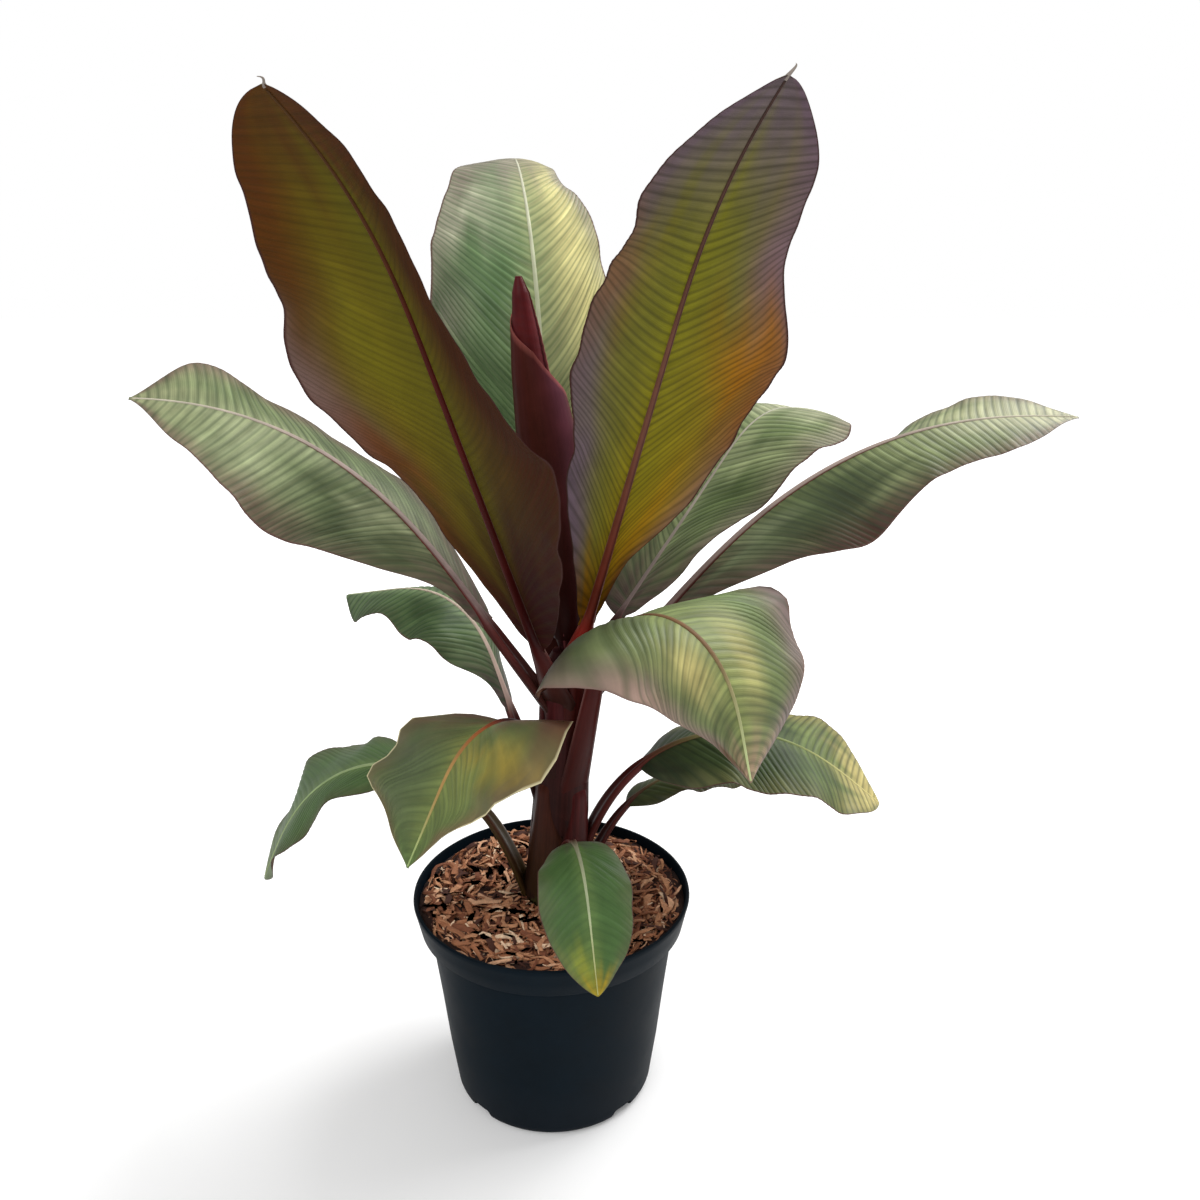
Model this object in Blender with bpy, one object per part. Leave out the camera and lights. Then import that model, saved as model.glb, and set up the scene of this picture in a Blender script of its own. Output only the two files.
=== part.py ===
"""Potted red abyssinian banana: a young plant in a round nursery pot.

Metres, +Z up.  The origin is the centre of the pot's underside.  The plant is
one stem, and each leaf is a grooved petiole and a thin blade that follow one
rib.  The rib leaves the stem at a height and a compass direction, climbs at
one angle at its foot and at another at its tip, and bends between them.
"""

import math
from dataclasses import dataclass

import bmesh
import bpy
import numpy as np

# ---- driving dimensions -------------------------------------------------------

MILLIMETRE = 0.001
GAP = 0.0003                 # clearance between neighbouring solids
JOINT_GAP = 0.0006           # the same where a petiole meets its blade

POT_HEIGHT = 0.225
RIM_RADIUS = 0.140
BASE_RADIUS = 0.103
WALL = 0.0025
BAND_HEIGHT = 0.032          # the deep collar under the rim
BAND_TAPER = 0.006           # how much the collar narrows downwards
BAND_STEP = 0.010            # how far the body stands in from the collar
CORNER_RADIUS = 0.012        # rounding of the pot's lower edge
RIM_ROUND = 0.003            # rounding of the rim's upper edge
RIM_LIP = 0.0015             # and how far its top stands in from it
LEDGE = 0.004                # how far the inner steps lie under the outer ones
WALL_MIDDLE = 0.10
INSIDE_FOOT = 0.03           # height at which the inside turns in to the floor
INSIDE_CORNER = 0.022
FLOOR_THICKNESS = 0.004
NOTCH_COUNT = 4              # shallow arches between the feet
NOTCH_WIDTH = 0.038
NOTCH_HEIGHT = 0.009
NOTCH_DEPTH = 0.014
NOTCH_FLARE = 0.003          # how much wider an arch is at its foot
NOTCH_SLOPE = 0.007          # and how much narrower near its crown
NOTCH_HAUNCH = 0.8           # height of that narrowing against the crown
NOTCH_BELOW = 0.004
NOTCH_BEYOND = 0.02
POT_SIDES = 48

FILL_TOP = 0.215             # level of the bark mulch
FILL_BUMP = 0.002
FILL_EDGE = 0.001            # clearance of the mulch's edge inside the rim
FILL_ROUND = (0.0035, 0.012, 0.003)  # its rounded edge: in from the rim, then in and down
FILL_RINGS = (0.085, 0.060)  # radii between which the mulch dips and rises

STEM_OFFSET = 0.004          # where the stem stands, along +X
STEM_LEAN = math.radians(3.0)
LEAN_FROM = 0.2              # height at which the leaning axis passes that place
STEM_TOP = 0.485
STEM_SIDES = 20
STEM_ROWS = 14               # rings up to its shoulder
STEM_SHOULDER = (0.46, 0.475)
STEM_ROOT = 0.080            # how far the petioles' clearance goes on below the stem
SHEATH_STEP = 0.0016         # height of the edge where one leaf sheath laps the next
SHEATH_FULL = 0.02           # radius above which the step has its full height
SHEATH_TURN = 2.2            # turns that the sheath edges make up the stem
STEM_PROFILE = (             # height, radius
    (0.2153, 0.0340),
    (0.2300, 0.0325),
    (0.2600, 0.0295),
    (0.3000, 0.0270),
    (0.3500, 0.0245),
    (0.4000, 0.0225),
    (0.4600, 0.0215),
    (0.4750, 0.0200),
    (STEM_TOP, 0.0150),
)

LEAF_THINNESS = 0.01         # blade thickness as a share of its length
PETIOLE_ROWS = 9
PETIOLE_DROP = 0.035         # a petiole starts this far below its seat
PETIOLE_ROOT = 0.35          # and this share of the way out from the stem's axis
PETIOLE_FLARE = 0.5          # how much wider a petiole is where it leaves the stem
LOW_SEAT = 0.07              # leaves seated less than this above the mulch reach into it
RIB_FOOT = 0.0078            # half-width of a long leaf's rib where the blade starts
RIB_TIP = 0.0014
RIB_TAPER = 0.7              # how early the rib narrows
RIB_MARGIN = 1.15            # a blade is at least this much wider than its rib
RIB_SHARE = 0.85             # and the rib fills at most this share of a half
KEEL = 1.1                   # depth of the rib below the blade, against its half-width
KEEL_SIDE = 0.25             # the same at the rib's sides
BASE_RUN = 0.04              # share of a blade over which its base rounds off
TIP_RUN = 0.12               # the same at its tip
LOBE_RUN = 0.2               # share of a blade that its basal lobes bend
CURL_STEPS = 24
ROWS_LEAST = 5               # cross-rows of a short stretch of blade
ROWS_ALWAYS = 4
ROWS_PER_METRE = 48
END_ROW = 0.35               # place of the extra row beside a blade's end
WAVE_REACH = 1.6             # how late the edge waves grow out from the rib
EDGE_LAG = 1.9               # how far the right edge's waves trail the left's, in radians

ROLL_SEAT = 0.4853           # the furled leaf stands on the stem
ROLL_LENGTH = 0.345
ROLL_LEAN = math.radians(6.5)    # towards -X
ROLL_SIDES = 14
ROLL_STEP = 0.16             # height of the furled edge, as a share of the radius
ROLL_TWIST = 0.35            # turns that the furled edge makes up its length
ROLL_START = -1.9            # where it starts, in radians
ROLL_PROFILE = (             # share of the length, radius
    (0.00, 0.0080),
    (0.08, 0.0140),
    (0.18, 0.0185),
    (0.35, 0.0205),
    (0.60, 0.0200),
    (0.76, 0.0165),
    (0.88, 0.0120),
    (0.96, 0.0080),
    (1.00, 0.0030),
)


@dataclass
class Leaf:
    """One leaf.  Lengths in metres, angles in degrees."""

    name: str
    seat: float              # height at which the rib leaves the stem
    compass: float           # direction it grows in, anticlockwise from +X
    petiole: float
    blade: float
    width: float
    rise: float              # climb of the rib at its foot, above level
    settle: float            # climb of the rib at its tip
    bend: tuple = (0.2, 1.0)     # stretch of the rib over which it bends
    swing: float = 0.0       # how much the direction turns by the tip
    out: float = 0.015       # distance from the stem's axis at the seat
    roll: tuple = (0, 0)     # turn of the blade about its rib, at base and tip
    fold: tuple = (0, 0)     # lift of both halves at the rib, at base and tip
    curl: tuple = (-15, -15)     # further bend of each half out to its edge
    uneven: float = 0.0      # how much wider the left half is than the mean
    hold: float = 0.0        # share of the blade before those three begin to change
    widest: float = 0.5      # where the blade is widest, from its base
    shoulder: float = 2.2    # how square the base is
    taper: float = 2.0       # how late the blade narrows
    point: float = 0.8       # how sharp the tip is
    lobe: float = 0.0        # how far the base's corners reach back
    waves: float = 3.0       # waves along each edge
    wave: float = 0.006
    left: tuple = ()         # width of the left half in mm, at even steps from base to tip
    right: tuple = ()        # the same of the right half; without them, the rule above
    left_fold: tuple = ()    # fold and curl of the left half, where they differ
    left_curl: tuple = ()
    thick: float = 1.0       # petiole and rib against a long leaf's
    split: float = 0.0       # where the blade is divided at its bend, or 0


LEAVES = (
    Leaf("mid_back", 0.375, 86, 0.12, 0.26, 0.085, 68, 30, (0.3, 1.1),
         fold=(10, 5), curl=(-20, -20), thick=0.8),
    Leaf("tall_back", 0.440, 112, 0.12, 0.457, 0.185, 83, -10, (0.45, 1.2), swing=-14,
         out=0.026, fold=(8, 8), curl=(-25, -25), waves=2.5,
         left=(10, 55, 85, 102, 97, 88, 68, 45), right=(10, 50, 72, 80, 70, 62, 38, 40)),
    Leaf("upright_right", 0.455, 39, 0.07, 0.325, 0.195, 45, -35, (0.66, 1.1),
         fold=(14, 8), curl=(-24, -24), thick=0.8,
         left=(24, 50, 66, 78, 83, 80, 63, 34), right=(14, 34, 50, 68, 88, 99, 98, 50)),
    Leaf("short_left", 0.330, 155, 0.09, 0.252, 0.120, 69, -14, (0.38, 0.85), out=0.022,
         fold=(-5, -10), curl=(-25, -25), thick=0.8,
         left=(8, 18, 46, 64, 58, 46, 44, 12), right=(8, 24, 40, 48, 48, 44, 30, 10)),
    Leaf("long_right", 0.430, 10, 0.10, 0.480, 0.165, 48, -5, (0.2, 1.05),
         roll=(5, 22), fold=(-38, 8), hold=0.43, left_fold=(-34, 14),
         left=(10, 17, 28, 36, 41, 45, 43, 5), right=(10, 26, 56, 79, 67, 51, 39, 5)),
    Leaf("long_left", 0.430, 180, 0.10, 0.395, 0.180, 56, -6, (0.25, 1.2),
         roll=(-10, -18), fold=(10, 30), curl=(-12, -12), hold=0.3, left_fold=(-40, -3),
         left=(10, 20, 50, 82, 89, 80, 48, 5), right=(10, 30, 44, 37, 26, 28, 50, 5)),
    Leaf("small_right", 0.220, 26, 0.10, 0.16, 0.055, 60, -22, (0.12, 0.9), out=0.022,
         fold=(-10, -10), curl=(-20, -20), thick=0.6, wave=0.003),
    Leaf("low_right", 0.240, 4, 0.14, 0.28, 0.140, 73, -42, (0.0, 0.95),
         roll=(10, 15), fold=(-20, 10), curl=(-12, -12), widest=0.62, taper=2.4,
         point=0.8, thick=0.8, split=0.45),
    Leaf("tall_left", 0.440, -120, 0.07, 0.545, 0.195, 63, 34, (0.62, 1.08),
         roll=(-5, -2), fold=(-5, -14), curl=(-10, -10), left_fold=(-5, -6),
         left=(12, 54, 86, 96, 56, 29, 35, 40), right=(10, 30, 58, 86, 118, 97, 70, 50)),
    Leaf("tall_right", 0.480, -62, 0.05, 0.52, 0.190, 63, 38, (0.6, 1.1),
         fold=(0, -12), curl=(-10, -10),
         left=(8, 24, 63, 88, 93, 70, 57, 30), right=(8, 30, 54, 71, 90, 84, 84, 45)),
    Leaf("arching_right", 0.340, -46, 0.165, 0.266, 0.228, 76, -76, (0.28, 0.92), swing=8,
         roll=(-12, 15), fold=(10, -20), curl=(-60, -15), lobe=0.03, split=0.42,
         left_fold=(15, -4), left_curl=(-25, -12),
         left=(22, 77, 118, 138, 130, 102, 68, 8), right=(85, 118, 135, 95, 80, 58, 24, 4)),
    Leaf("low_left", 0.200, 176, 0.175, 0.265, 0.156, 70, -66, (0.08, 0.95), out=0.020,
         roll=(0, -12), uneven=-0.22, fold=(-5, 5), curl=(-10, -10), widest=0.62,
         shoulder=1.4, thick=0.8, split=0.45),
    Leaf("arching_left", 0.348, -137, 0.11, 0.165, 0.208, 78, -58, (0.05, 0.75),
         roll=(0, 9), fold=(5, 12), curl=(-12, -12), lobe=0.02, thick=0.9,
         left_fold=(26, -12), left_curl=(-25, -15),
         left=(82, 112, 114, 84, 57, 32, 14, 3), right=(10, 52, 80, 92, 97, 94, 54, 5)),
    Leaf("small_front", 0.263, -77, 0.08, 0.153, 0.088, 62, -60, (0.05, 0.75), out=0.022,
         widest=0.45, thick=0.5, wave=0.003),
)


POT_BLACK = (0.010, 0.014, 0.020)
BARK_BROWN = (0.20, 0.075, 0.035)
SHEATH_BROWN = (0.045, 0.018, 0.012)
PETIOLE_RED = (0.060, 0.010, 0.010)
LEAF_GREEN = (0.16, 0.24, 0.12)
FURLED_RED = (0.11, 0.015, 0.025)
GUIDE_PINK = (1.0, 0.0, 1.0)


# ---- the rule that every leaf follows ------------------------------------------

def ease(x):
    """A smooth step from 0 to 1."""
    x = np.clip(x, 0.0, 1.0)
    return x * x * (3.0 - 2.0 * x)


def blend(pair, share):
    return pair[0] + (pair[1] - pair[0]) * share


def stem_centre(height):
    """A point on the stem's leaning axis."""
    return np.array([STEM_OFFSET + math.tan(STEM_LEAN) * (height - LEAN_FROM), 0.0, height])


def rib_frame(leaf, samples=241):
    """Points along the rib with its forward, left and upper directions."""
    t = np.linspace(0.0, 1.0, samples)
    start, end = leaf.bend
    climb = np.radians(blend((leaf.rise, leaf.settle), ease((t - start) / (end - start))))
    heading = np.radians(leaf.compass + leaf.swing * t)
    level = np.stack([np.cos(heading), np.sin(heading), 0.0 * t], axis=-1)
    up = np.array([0.0, 0.0, 1.0])
    forward = np.cos(climb)[:, None] * level + np.sin(climb)[:, None] * up
    left = np.cross(up, level)
    upper = np.cross(forward, left)
    step = (leaf.petiole + leaf.blade) / (samples - 1)
    foot = stem_centre(leaf.seat) + leaf.out * level[0]
    walk = np.cumsum((forward[1:] + forward[:-1]) / 2.0, axis=0) * step
    points = np.vstack([foot, foot + walk])
    return t, points, forward, left, upper


def along(frame, share):
    """The rib's frame read at shares of its length."""
    t = frame[0]
    return [
        np.stack([np.interp(share, t, part[:, axis]) for axis in range(3)], axis=-1)
        for part in frame[1:]
    ]


def rib_half_width(leaf, u):
    """Half the width of the rib at share u of the blade."""
    return leaf.thick * blend((RIB_FOOT, RIB_TIP), np.clip(u, 0.0, 1.0) ** RIB_TAPER)


def through(widths, u):
    """A smooth curve through widths in mm, given at even steps from u = 0 to 1."""
    widths = np.array(widths) * MILLIMETRE
    slope = np.gradient(widths)
    place = np.clip(u, 0.0, 1.0) * (len(widths) - 1)
    cell = np.minimum(place.astype(int), len(widths) - 2)
    part = place - cell
    step = (widths[cell + 1] - widths[cell]) * ease(part)
    sway = slope[cell] * (1.0 - part) - slope[cell + 1] * part
    return widths[cell] + step + part * (1.0 - part) * sway


def half_width(leaf, u, side):
    """Width of one half of the blade, from its base at u = 0 to its tip at u = 1."""
    if leaf.left:
        outline = np.where(side > 0, through(leaf.left, u), through(leaf.right, u))
        inner = np.clip(1.0 - u / BASE_RUN, 0.0, 1.0)
        outer = np.clip((u - 1.0 + TIP_RUN) / TIP_RUN, 0.0, 1.0)
        outline = outline * np.sqrt((1.0 - inner ** 2) * (1.0 - outer ** 2))
    else:
        inner = np.clip((leaf.widest - u) / leaf.widest, 0.0, 1.0)
        outer = np.clip((u - leaf.widest) / (1.0 - leaf.widest), 0.0, 1.0)
        base = (1.0 - inner ** leaf.shoulder) ** (1.0 / leaf.shoulder)
        tip = (1.0 - outer ** leaf.taper) ** leaf.point
        outline = leaf.width / 2.0 * np.where(u < leaf.widest, base, tip)
        outline = outline * (1.0 + leaf.uneven * side)
    return np.maximum(outline, RIB_MARGIN * rib_half_width(leaf, u))


def blade_surface(leaf, u, v):
    """Points of the blade; u runs along it and v across it, from -1 to 1."""
    frame = rib_frame(leaf)
    total = leaf.petiole + leaf.blade
    points, forward, left, upper = along(frame, (leaf.petiole + leaf.blade * u) / total)
    share = ease((u - leaf.hold) / (1.0 - leaf.hold))
    turn = np.radians(blend(leaf.roll, share))[:, None]
    across = left * np.cos(turn) + upper * np.sin(turn)
    lift = upper * np.cos(turn) - left * np.sin(turn)
    steps = (np.arange(CURL_STEPS) + 0.5) / CURL_STEPS
    surface = np.zeros((len(u), v.shape[1], 3))
    for column in range(v.shape[1]):
        reach = np.abs(v[:, column])
        side = np.sign(v[:, column])
        width = half_width(leaf, u, side)
        left_fold = blend(leaf.left_fold or leaf.fold, share)
        left_curl = blend(leaf.left_curl or leaf.curl, share)
        fold = np.where(side > 0, left_fold, blend(leaf.fold, share))
        curl = np.where(side > 0, left_curl, blend(leaf.curl, share))
        bent = np.radians(fold[:, None] + curl[:, None] * steps[None] * reach[:, None])
        sideways = np.cos(bent).mean(axis=1) * reach * width
        upwards = np.sin(bent).mean(axis=1) * reach * width
        ripple = leaf.wave * reach ** WAVE_REACH * width / (leaf.width / 2.0)
        start = np.where(side > 0, 0.0, EDGE_LAG)
        upwards = upwards + ripple * np.sin(2.0 * math.pi * leaf.waves * u + start)
        back = leaf.lobe * (reach * width * 2.0 / leaf.width) ** 2 * np.exp(-((u / LOBE_RUN) ** 2))
        surface[:, column] = (
            points
            + (side * sideways)[:, None] * across
            + upwards[:, None] * lift
            - back[:, None] * forward
        )
    return surface


# ---- from points to solids -------------------------------------------------------

def finish(name, colour, roughness):
    """A plain material; colour in linear red, green and blue."""
    material = bpy.data.materials.new(name)
    material.use_nodes = True
    shader = material.node_tree.nodes["Principled BSDF"]
    shader.inputs["Base Color"].default_value = (*colour, 1.0)
    shader.inputs["Roughness"].default_value = roughness
    shader.inputs["Metallic"].default_value = 0.0
    return material


def add_object(name, points, faces, material, smooth=True):
    """A mesh object from points and faces, with its normals facing out."""
    mesh = bpy.data.meshes.new(name)
    mesh.from_pydata([tuple(point) for point in points], [], faces)
    shape = bmesh.new()
    shape.from_mesh(mesh)
    bmesh.ops.recalc_face_normals(shape, faces=shape.faces)
    shape.to_mesh(mesh)
    shape.free()
    if smooth:
        mesh.shade_smooth()
        mesh.set_sharp_from_angle(angle=math.radians(40))
    mesh.materials.append(material)
    piece = bpy.data.objects.new(name, mesh)
    bpy.context.collection.objects.link(piece)
    return piece


def loft(rings):
    """Points and faces of a tube through rings of equal length, capped flat."""
    count = len(rings[0])
    points = [point for ring in rings for point in ring]
    faces = [
        (row * count + side, row * count + (side + 1) % count,
         (row + 1) * count + (side + 1) % count, (row + 1) * count + side)
        for row in range(len(rings) - 1)
        for side in range(count)
    ]
    faces.append(tuple(range(count - 1, -1, -1)))
    faces.append(tuple((len(rings) - 1) * count + side for side in range(count)))
    return points, faces


def slab(top, bottom):
    """Points and faces of a thin sheet between two grids of points."""
    rows, columns = top.shape[:2]
    points = list(top.reshape(-1, 3)) + list(bottom.reshape(-1, 3))
    below = rows * columns
    faces = []
    for row in range(rows - 1):
        for column in range(columns - 1):
            near = row * columns + column
            far = near + columns
            faces.append((near, far, far + 1, near + 1))
            faces.append((below + near, below + near + 1, below + far + 1, below + far))
    for row in range(rows - 1):
        for edge, flip in ((0, False), (columns - 1, True)):
            near = row * columns + edge
            wall = (near, below + near, below + near + columns, near + columns)
            faces.append(wall[::-1] if flip else wall)
    for column in range(columns - 1):
        for row, flip in ((0, False), (rows - 1, True)):
            near = row * columns + column
            wall = (near, near + 1, below + near + 1, below + near)
            faces.append(wall[::-1] if flip else wall)
    return points, faces


def cut(piece, cutter):
    """Takes the cutter's shape out of the piece; the cutter stays as a guide."""
    modifier = piece.modifiers.new("cut_" + cutter.name, "BOOLEAN")
    modifier.operation = "DIFFERENCE"
    modifier.solver = "EXACT"
    modifier.object = cutter
    cutter.hide_render = True
    cutter.display_type = "WIRE"


def turned(name, profile, material, sides=POT_SIDES):
    """A turned solid from (radius, height) pairs that start and end on the axis."""
    points = [(0.0, 0.0, profile[0][1])]
    rings = profile[1:-1]
    for radius, height in rings:
        for side in range(sides):
            angle = 2.0 * math.pi * side / sides
            points.append((radius * math.cos(angle), radius * math.sin(angle), height))
    points.append((0.0, 0.0, profile[-1][1]))
    last = len(points) - 1
    faces = []
    for side in range(sides):
        after = (side + 1) % sides
        faces.append((0, 1 + after, 1 + side))
        for ring in range(len(rings) - 1):
            near = 1 + ring * sides
            far = near + sides
            faces.append((near + side, near + after, far + after, far + side))
        top = 1 + (len(rings) - 1) * sides
        faces.append((top + side, top + after, last))
    return add_object(name, points, faces, material)


# ---- pot and mulch ------------------------------------------------------------------

def wall_radius(height):
    """The pot body's outer radius, a straight taper up to the collar."""
    top = RIM_RADIUS - BAND_TAPER - BAND_STEP
    return BASE_RADIUS + (top - BASE_RADIUS) * height / (POT_HEIGHT - BAND_HEIGHT)


def lower_edge(steps=4):
    """The rounded lower edge, from the underside out to the wall."""
    centre = BASE_RADIUS - CORNER_RADIUS
    return [
        (centre + CORNER_RADIUS * math.sin(angle), CORNER_RADIUS * (1.0 - math.cos(angle)))
        for angle in (0.5 * math.pi * step / steps for step in range(steps + 1))
    ]


def build_pot():
    """The pot: a rounded foot, a tapered wall and a deep collar, open at the top."""
    shoulder = POT_HEIGHT - BAND_HEIGHT
    body_top = RIM_RADIUS - BAND_TAPER - BAND_STEP
    outer = [(0.0, 0.0)] + lower_edge() + [
        (wall_radius(WALL_MIDDLE), WALL_MIDDLE),
        (body_top, shoulder),
        (RIM_RADIUS - BAND_TAPER, shoulder + MILLIMETRE),
        (RIM_RADIUS, POT_HEIGHT - RIM_ROUND),
        (RIM_RADIUS - RIM_LIP, POT_HEIGHT),
    ]
    inner = [
        (RIM_RADIUS - WALL - RIM_LIP, POT_HEIGHT),
        (RIM_RADIUS - WALL - RIM_LIP, POT_HEIGHT - LEDGE),
        (body_top - WALL, shoulder - LEDGE),
        (wall_radius(WALL_MIDDLE) - WALL, WALL_MIDDLE),
        (wall_radius(INSIDE_FOOT) - WALL, INSIDE_FOOT),
        (BASE_RADIUS - INSIDE_CORNER, FLOOR_THICKNESS),
        (0.0, FLOOR_THICKNESS),
    ]
    pot = turned("pot", outer + inner, finish("pot_plastic", POT_BLACK, 0.45))
    cut(pot, notch_cutter())
    return pot


def notch_cutter():
    """Blocks with sloping sides that cut the arches between the pot's feet."""
    points = []
    faces = []
    for notch in range(NOTCH_COUNT):
        angle = 2.0 * math.pi * (notch + 0.5) / NOTCH_COUNT
        outward = np.array([math.cos(angle), math.sin(angle), 0.0])
        sideways = np.array([-math.sin(angle), math.cos(angle), 0.0])
        start = len(points)
        for radius in (BASE_RADIUS - NOTCH_DEPTH, BASE_RADIUS + NOTCH_BEYOND):
            for half, height in (
                (NOTCH_WIDTH / 2 + NOTCH_FLARE, -NOTCH_BELOW),
                (NOTCH_WIDTH / 2 - NOTCH_SLOPE, NOTCH_HEIGHT * NOTCH_HAUNCH),
                (NOTCH_WIDTH / 4, NOTCH_HEIGHT),
                (-NOTCH_WIDTH / 4, NOTCH_HEIGHT),
                (NOTCH_SLOPE - NOTCH_WIDTH / 2, NOTCH_HEIGHT * NOTCH_HAUNCH),
                (-NOTCH_WIDTH / 2 - NOTCH_FLARE, -NOTCH_BELOW),
            ):
                points.append(outward * radius + sideways * half + np.array([0, 0, height]))
        corners = range(start, start + 6)
        faces.append(tuple(corners))
        faces.append(tuple(corner + 6 for corner in reversed(corners)))
        for side in range(6):
            after = (side + 1) % 6
            faces.append((start + after, start + side, start + side + 6, start + after + 6))
    return add_object("notch_cutter", points, faces, finish("guide", GUIDE_PINK, 1), smooth=False)


def build_fill():
    """The growing mix and its bark mulch: one solid that fills the pot."""
    clear = WALL + GAP
    shoulder = POT_HEIGHT - BAND_HEIGHT
    body_top = RIM_RADIUS - BAND_TAPER - BAND_STEP
    edge = RIM_RADIUS - clear - RIM_LIP - FILL_EDGE
    shallow, deep, drop = FILL_ROUND
    dip, rise = FILL_RINGS
    profile = [
        (0.0, FLOOR_THICKNESS + GAP),
        (BASE_RADIUS - INSIDE_CORNER - GAP, FLOOR_THICKNESS + GAP),
        (wall_radius(INSIDE_FOOT) - clear, INSIDE_FOOT),
        (wall_radius(WALL_MIDDLE) - clear, WALL_MIDDLE),
        (body_top - clear, shoulder - LEDGE),
        (edge - shallow, FILL_TOP - drop),
        (edge - deep, FILL_TOP),
        (dip, FILL_TOP - FILL_BUMP),
        (rise, FILL_TOP),
        (0.0, FILL_TOP),
    ]
    return turned("mulch", profile, finish("bark", BARK_BROWN, 0.9))


# ---- stem -----------------------------------------------------------------------------

def stem_radius(height):
    heights, radii = zip(*STEM_PROFILE)
    return float(np.interp(height, heights, radii))


def stem_rings(extra, sheathed):
    """Rings up the stem; sheathed ones carry the steps where sheaths lap."""
    rings = []
    low, high = STEM_PROFILE[0][0], STEM_TOP
    heights = list(np.linspace(low, STEM_SHOULDER[0], STEM_ROWS)) + [STEM_SHOULDER[1], high]
    for height in heights:
        centre = stem_centre(height)
        radius = stem_radius(height) + extra
        turn = SHEATH_TURN * (height - low) / (high - low)
        ring = []
        for side in range(STEM_SIDES):
            angle = 2.0 * math.pi * side / STEM_SIDES
            lap = (2.0 * (side / STEM_SIDES) + turn) % 1.0
            step = SHEATH_STEP * lap * min(1.0, radius / SHEATH_FULL) if sheathed else 0.0
            reach = radius - step
            ring.append(centre + reach * np.array([math.cos(angle), math.sin(angle), 0.0]))
        rings.append(ring)
    return rings


def build_stem():
    points, faces = loft(stem_rings(0.0, True))
    return add_object("stem", points, faces, finish("stem_sheath", SHEATH_BROWN, 0.5))


def stem_cutter():
    """The stem without its steps and GAP larger: it clears the petioles' feet."""
    rings = stem_rings(GAP, False)
    rings.insert(0, [point - np.array([0.0, 0.0, STEM_ROOT]) for point in rings[0]])
    rings[-1] = [point + np.array([0.0, 0.0, GAP]) for point in rings[-1]]
    points, faces = loft(rings)
    return add_object("stem_cutter", points, faces, finish("guide", GUIDE_PINK, 1), smooth=False)


def ground_cutter():
    """Everything under the mulch's surface, for the feet of the lowest leaves."""
    bpy.ops.mesh.primitive_cube_add(size=1.0, location=(0.0, 0.0, FILL_TOP + GAP - 0.05))
    block = bpy.context.object
    block.name = "ground_cutter"
    block.scale = (0.3, 0.3, 0.1)
    return block


# ---- leaves -----------------------------------------------------------------------------

def petiole_section(half, depth):
    """A grooved oval, as pairs across and up."""
    share = (
        (0.00, 0.15), (0.55, 0.45), (1.00, 0.30), (0.92, -0.45), (0.52, -0.90),
        (0.00, -1.05), (-0.52, -0.90), (-0.92, -0.45), (-1.00, 0.30), (-0.55, 0.45),
    )
    return [(across * half, up * depth) for across, up in share]


def build_petiole(leaf, cutters):
    """A tapering grooved limb from inside the stem's surface to the blade."""
    frame = rib_frame(leaf)
    total = leaf.petiole + leaf.blade
    end = (leaf.petiole - JOINT_GAP) / total
    shares = np.linspace(0.0, end, PETIOLE_ROWS)
    points, forward, left, upper = along(frame, shares)
    rings = []
    full = leaf.thick * RIB_FOOT
    inside = PETIOLE_ROOT * (points[0] - stem_centre(leaf.seat))
    foot = stem_centre(leaf.seat - PETIOLE_DROP) + inside
    rings.append([
        foot + across * left[0] + up * upper[0] for across, up in petiole_section(full, full)
    ])
    for row, share in enumerate(shares):
        half = full * (1.0 + PETIOLE_FLARE * (1.0 - share / end) ** 2)
        turn = math.radians(leaf.roll[0]) * share / end
        sideways = left[row] * math.cos(turn) + upper[row] * math.sin(turn)
        upwards = upper[row] * math.cos(turn) - left[row] * math.sin(turn)
        rings.append([
            points[row] + across * sideways + up * upwards
            for across, up in petiole_section(half, full)
        ])
    solid, faces = loft(rings)
    name = "petiole_" + leaf.name
    petiole = add_object(name, solid, faces, finish(name, PETIOLE_RED, 0.4))
    for cutter in cutters:
        cut(petiole, cutter)
    return petiole


def blade_rows(leaf, start, end):
    """Where the blade's cross-rows fall: closer at its base and tip."""
    count = max(ROWS_LEAST, round(ROWS_ALWAYS + ROWS_PER_METRE * leaf.blade * (end - start)))
    even = np.linspace(0.0, 1.0, count)
    return start + (end - start) * even


def build_blade(leaf, name, start, end):
    """A stretch of the blade as a solid sheet with its rib standing out below."""
    u = blade_rows(leaf, start, end)
    if start == 0.0:
        u = np.insert(u, 1, u[1] * END_ROW)
    if end == 1.0:
        u = np.insert(u, -1, 1.0 - (1.0 - u[-2]) * END_ROW)
    half = rib_half_width(leaf, u)
    right = np.minimum(half / half_width(leaf, u, -1.0), RIB_SHARE)
    left = np.minimum(half / half_width(leaf, u, 1.0), RIB_SHARE)
    outer = np.ones(len(u))
    v = np.stack(
        [-outer, -(1.0 + right) / 2.0, -right, 0.0 * half, left, (1.0 + left) / 2.0, outer],
        axis=1,
    )
    surface = blade_surface(leaf, u, v)
    normal = np.cross(np.gradient(surface, axis=0), np.gradient(surface, axis=1))
    total = leaf.petiole + leaf.blade
    forward = along(rib_frame(leaf), (leaf.petiole + leaf.blade * u) / total)[1][:, None]
    normal -= (normal * forward).sum(axis=2, keepdims=True) * forward
    normal /= np.linalg.norm(normal, axis=2, keepdims=True)
    half_thick = LEAF_THINNESS * leaf.blade / 2.0
    keel = np.zeros(v.shape)
    keel[:, 3] = KEEL * half
    keel[:, 2] = keel[:, 4] = KEEL_SIDE * half
    top = surface + half_thick * normal
    bottom = surface - (half_thick + keel[..., None]) * normal
    points, faces = slab(top, bottom)
    return add_object(name, points, faces, finish(name, LEAF_GREEN, 0.45))


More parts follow.
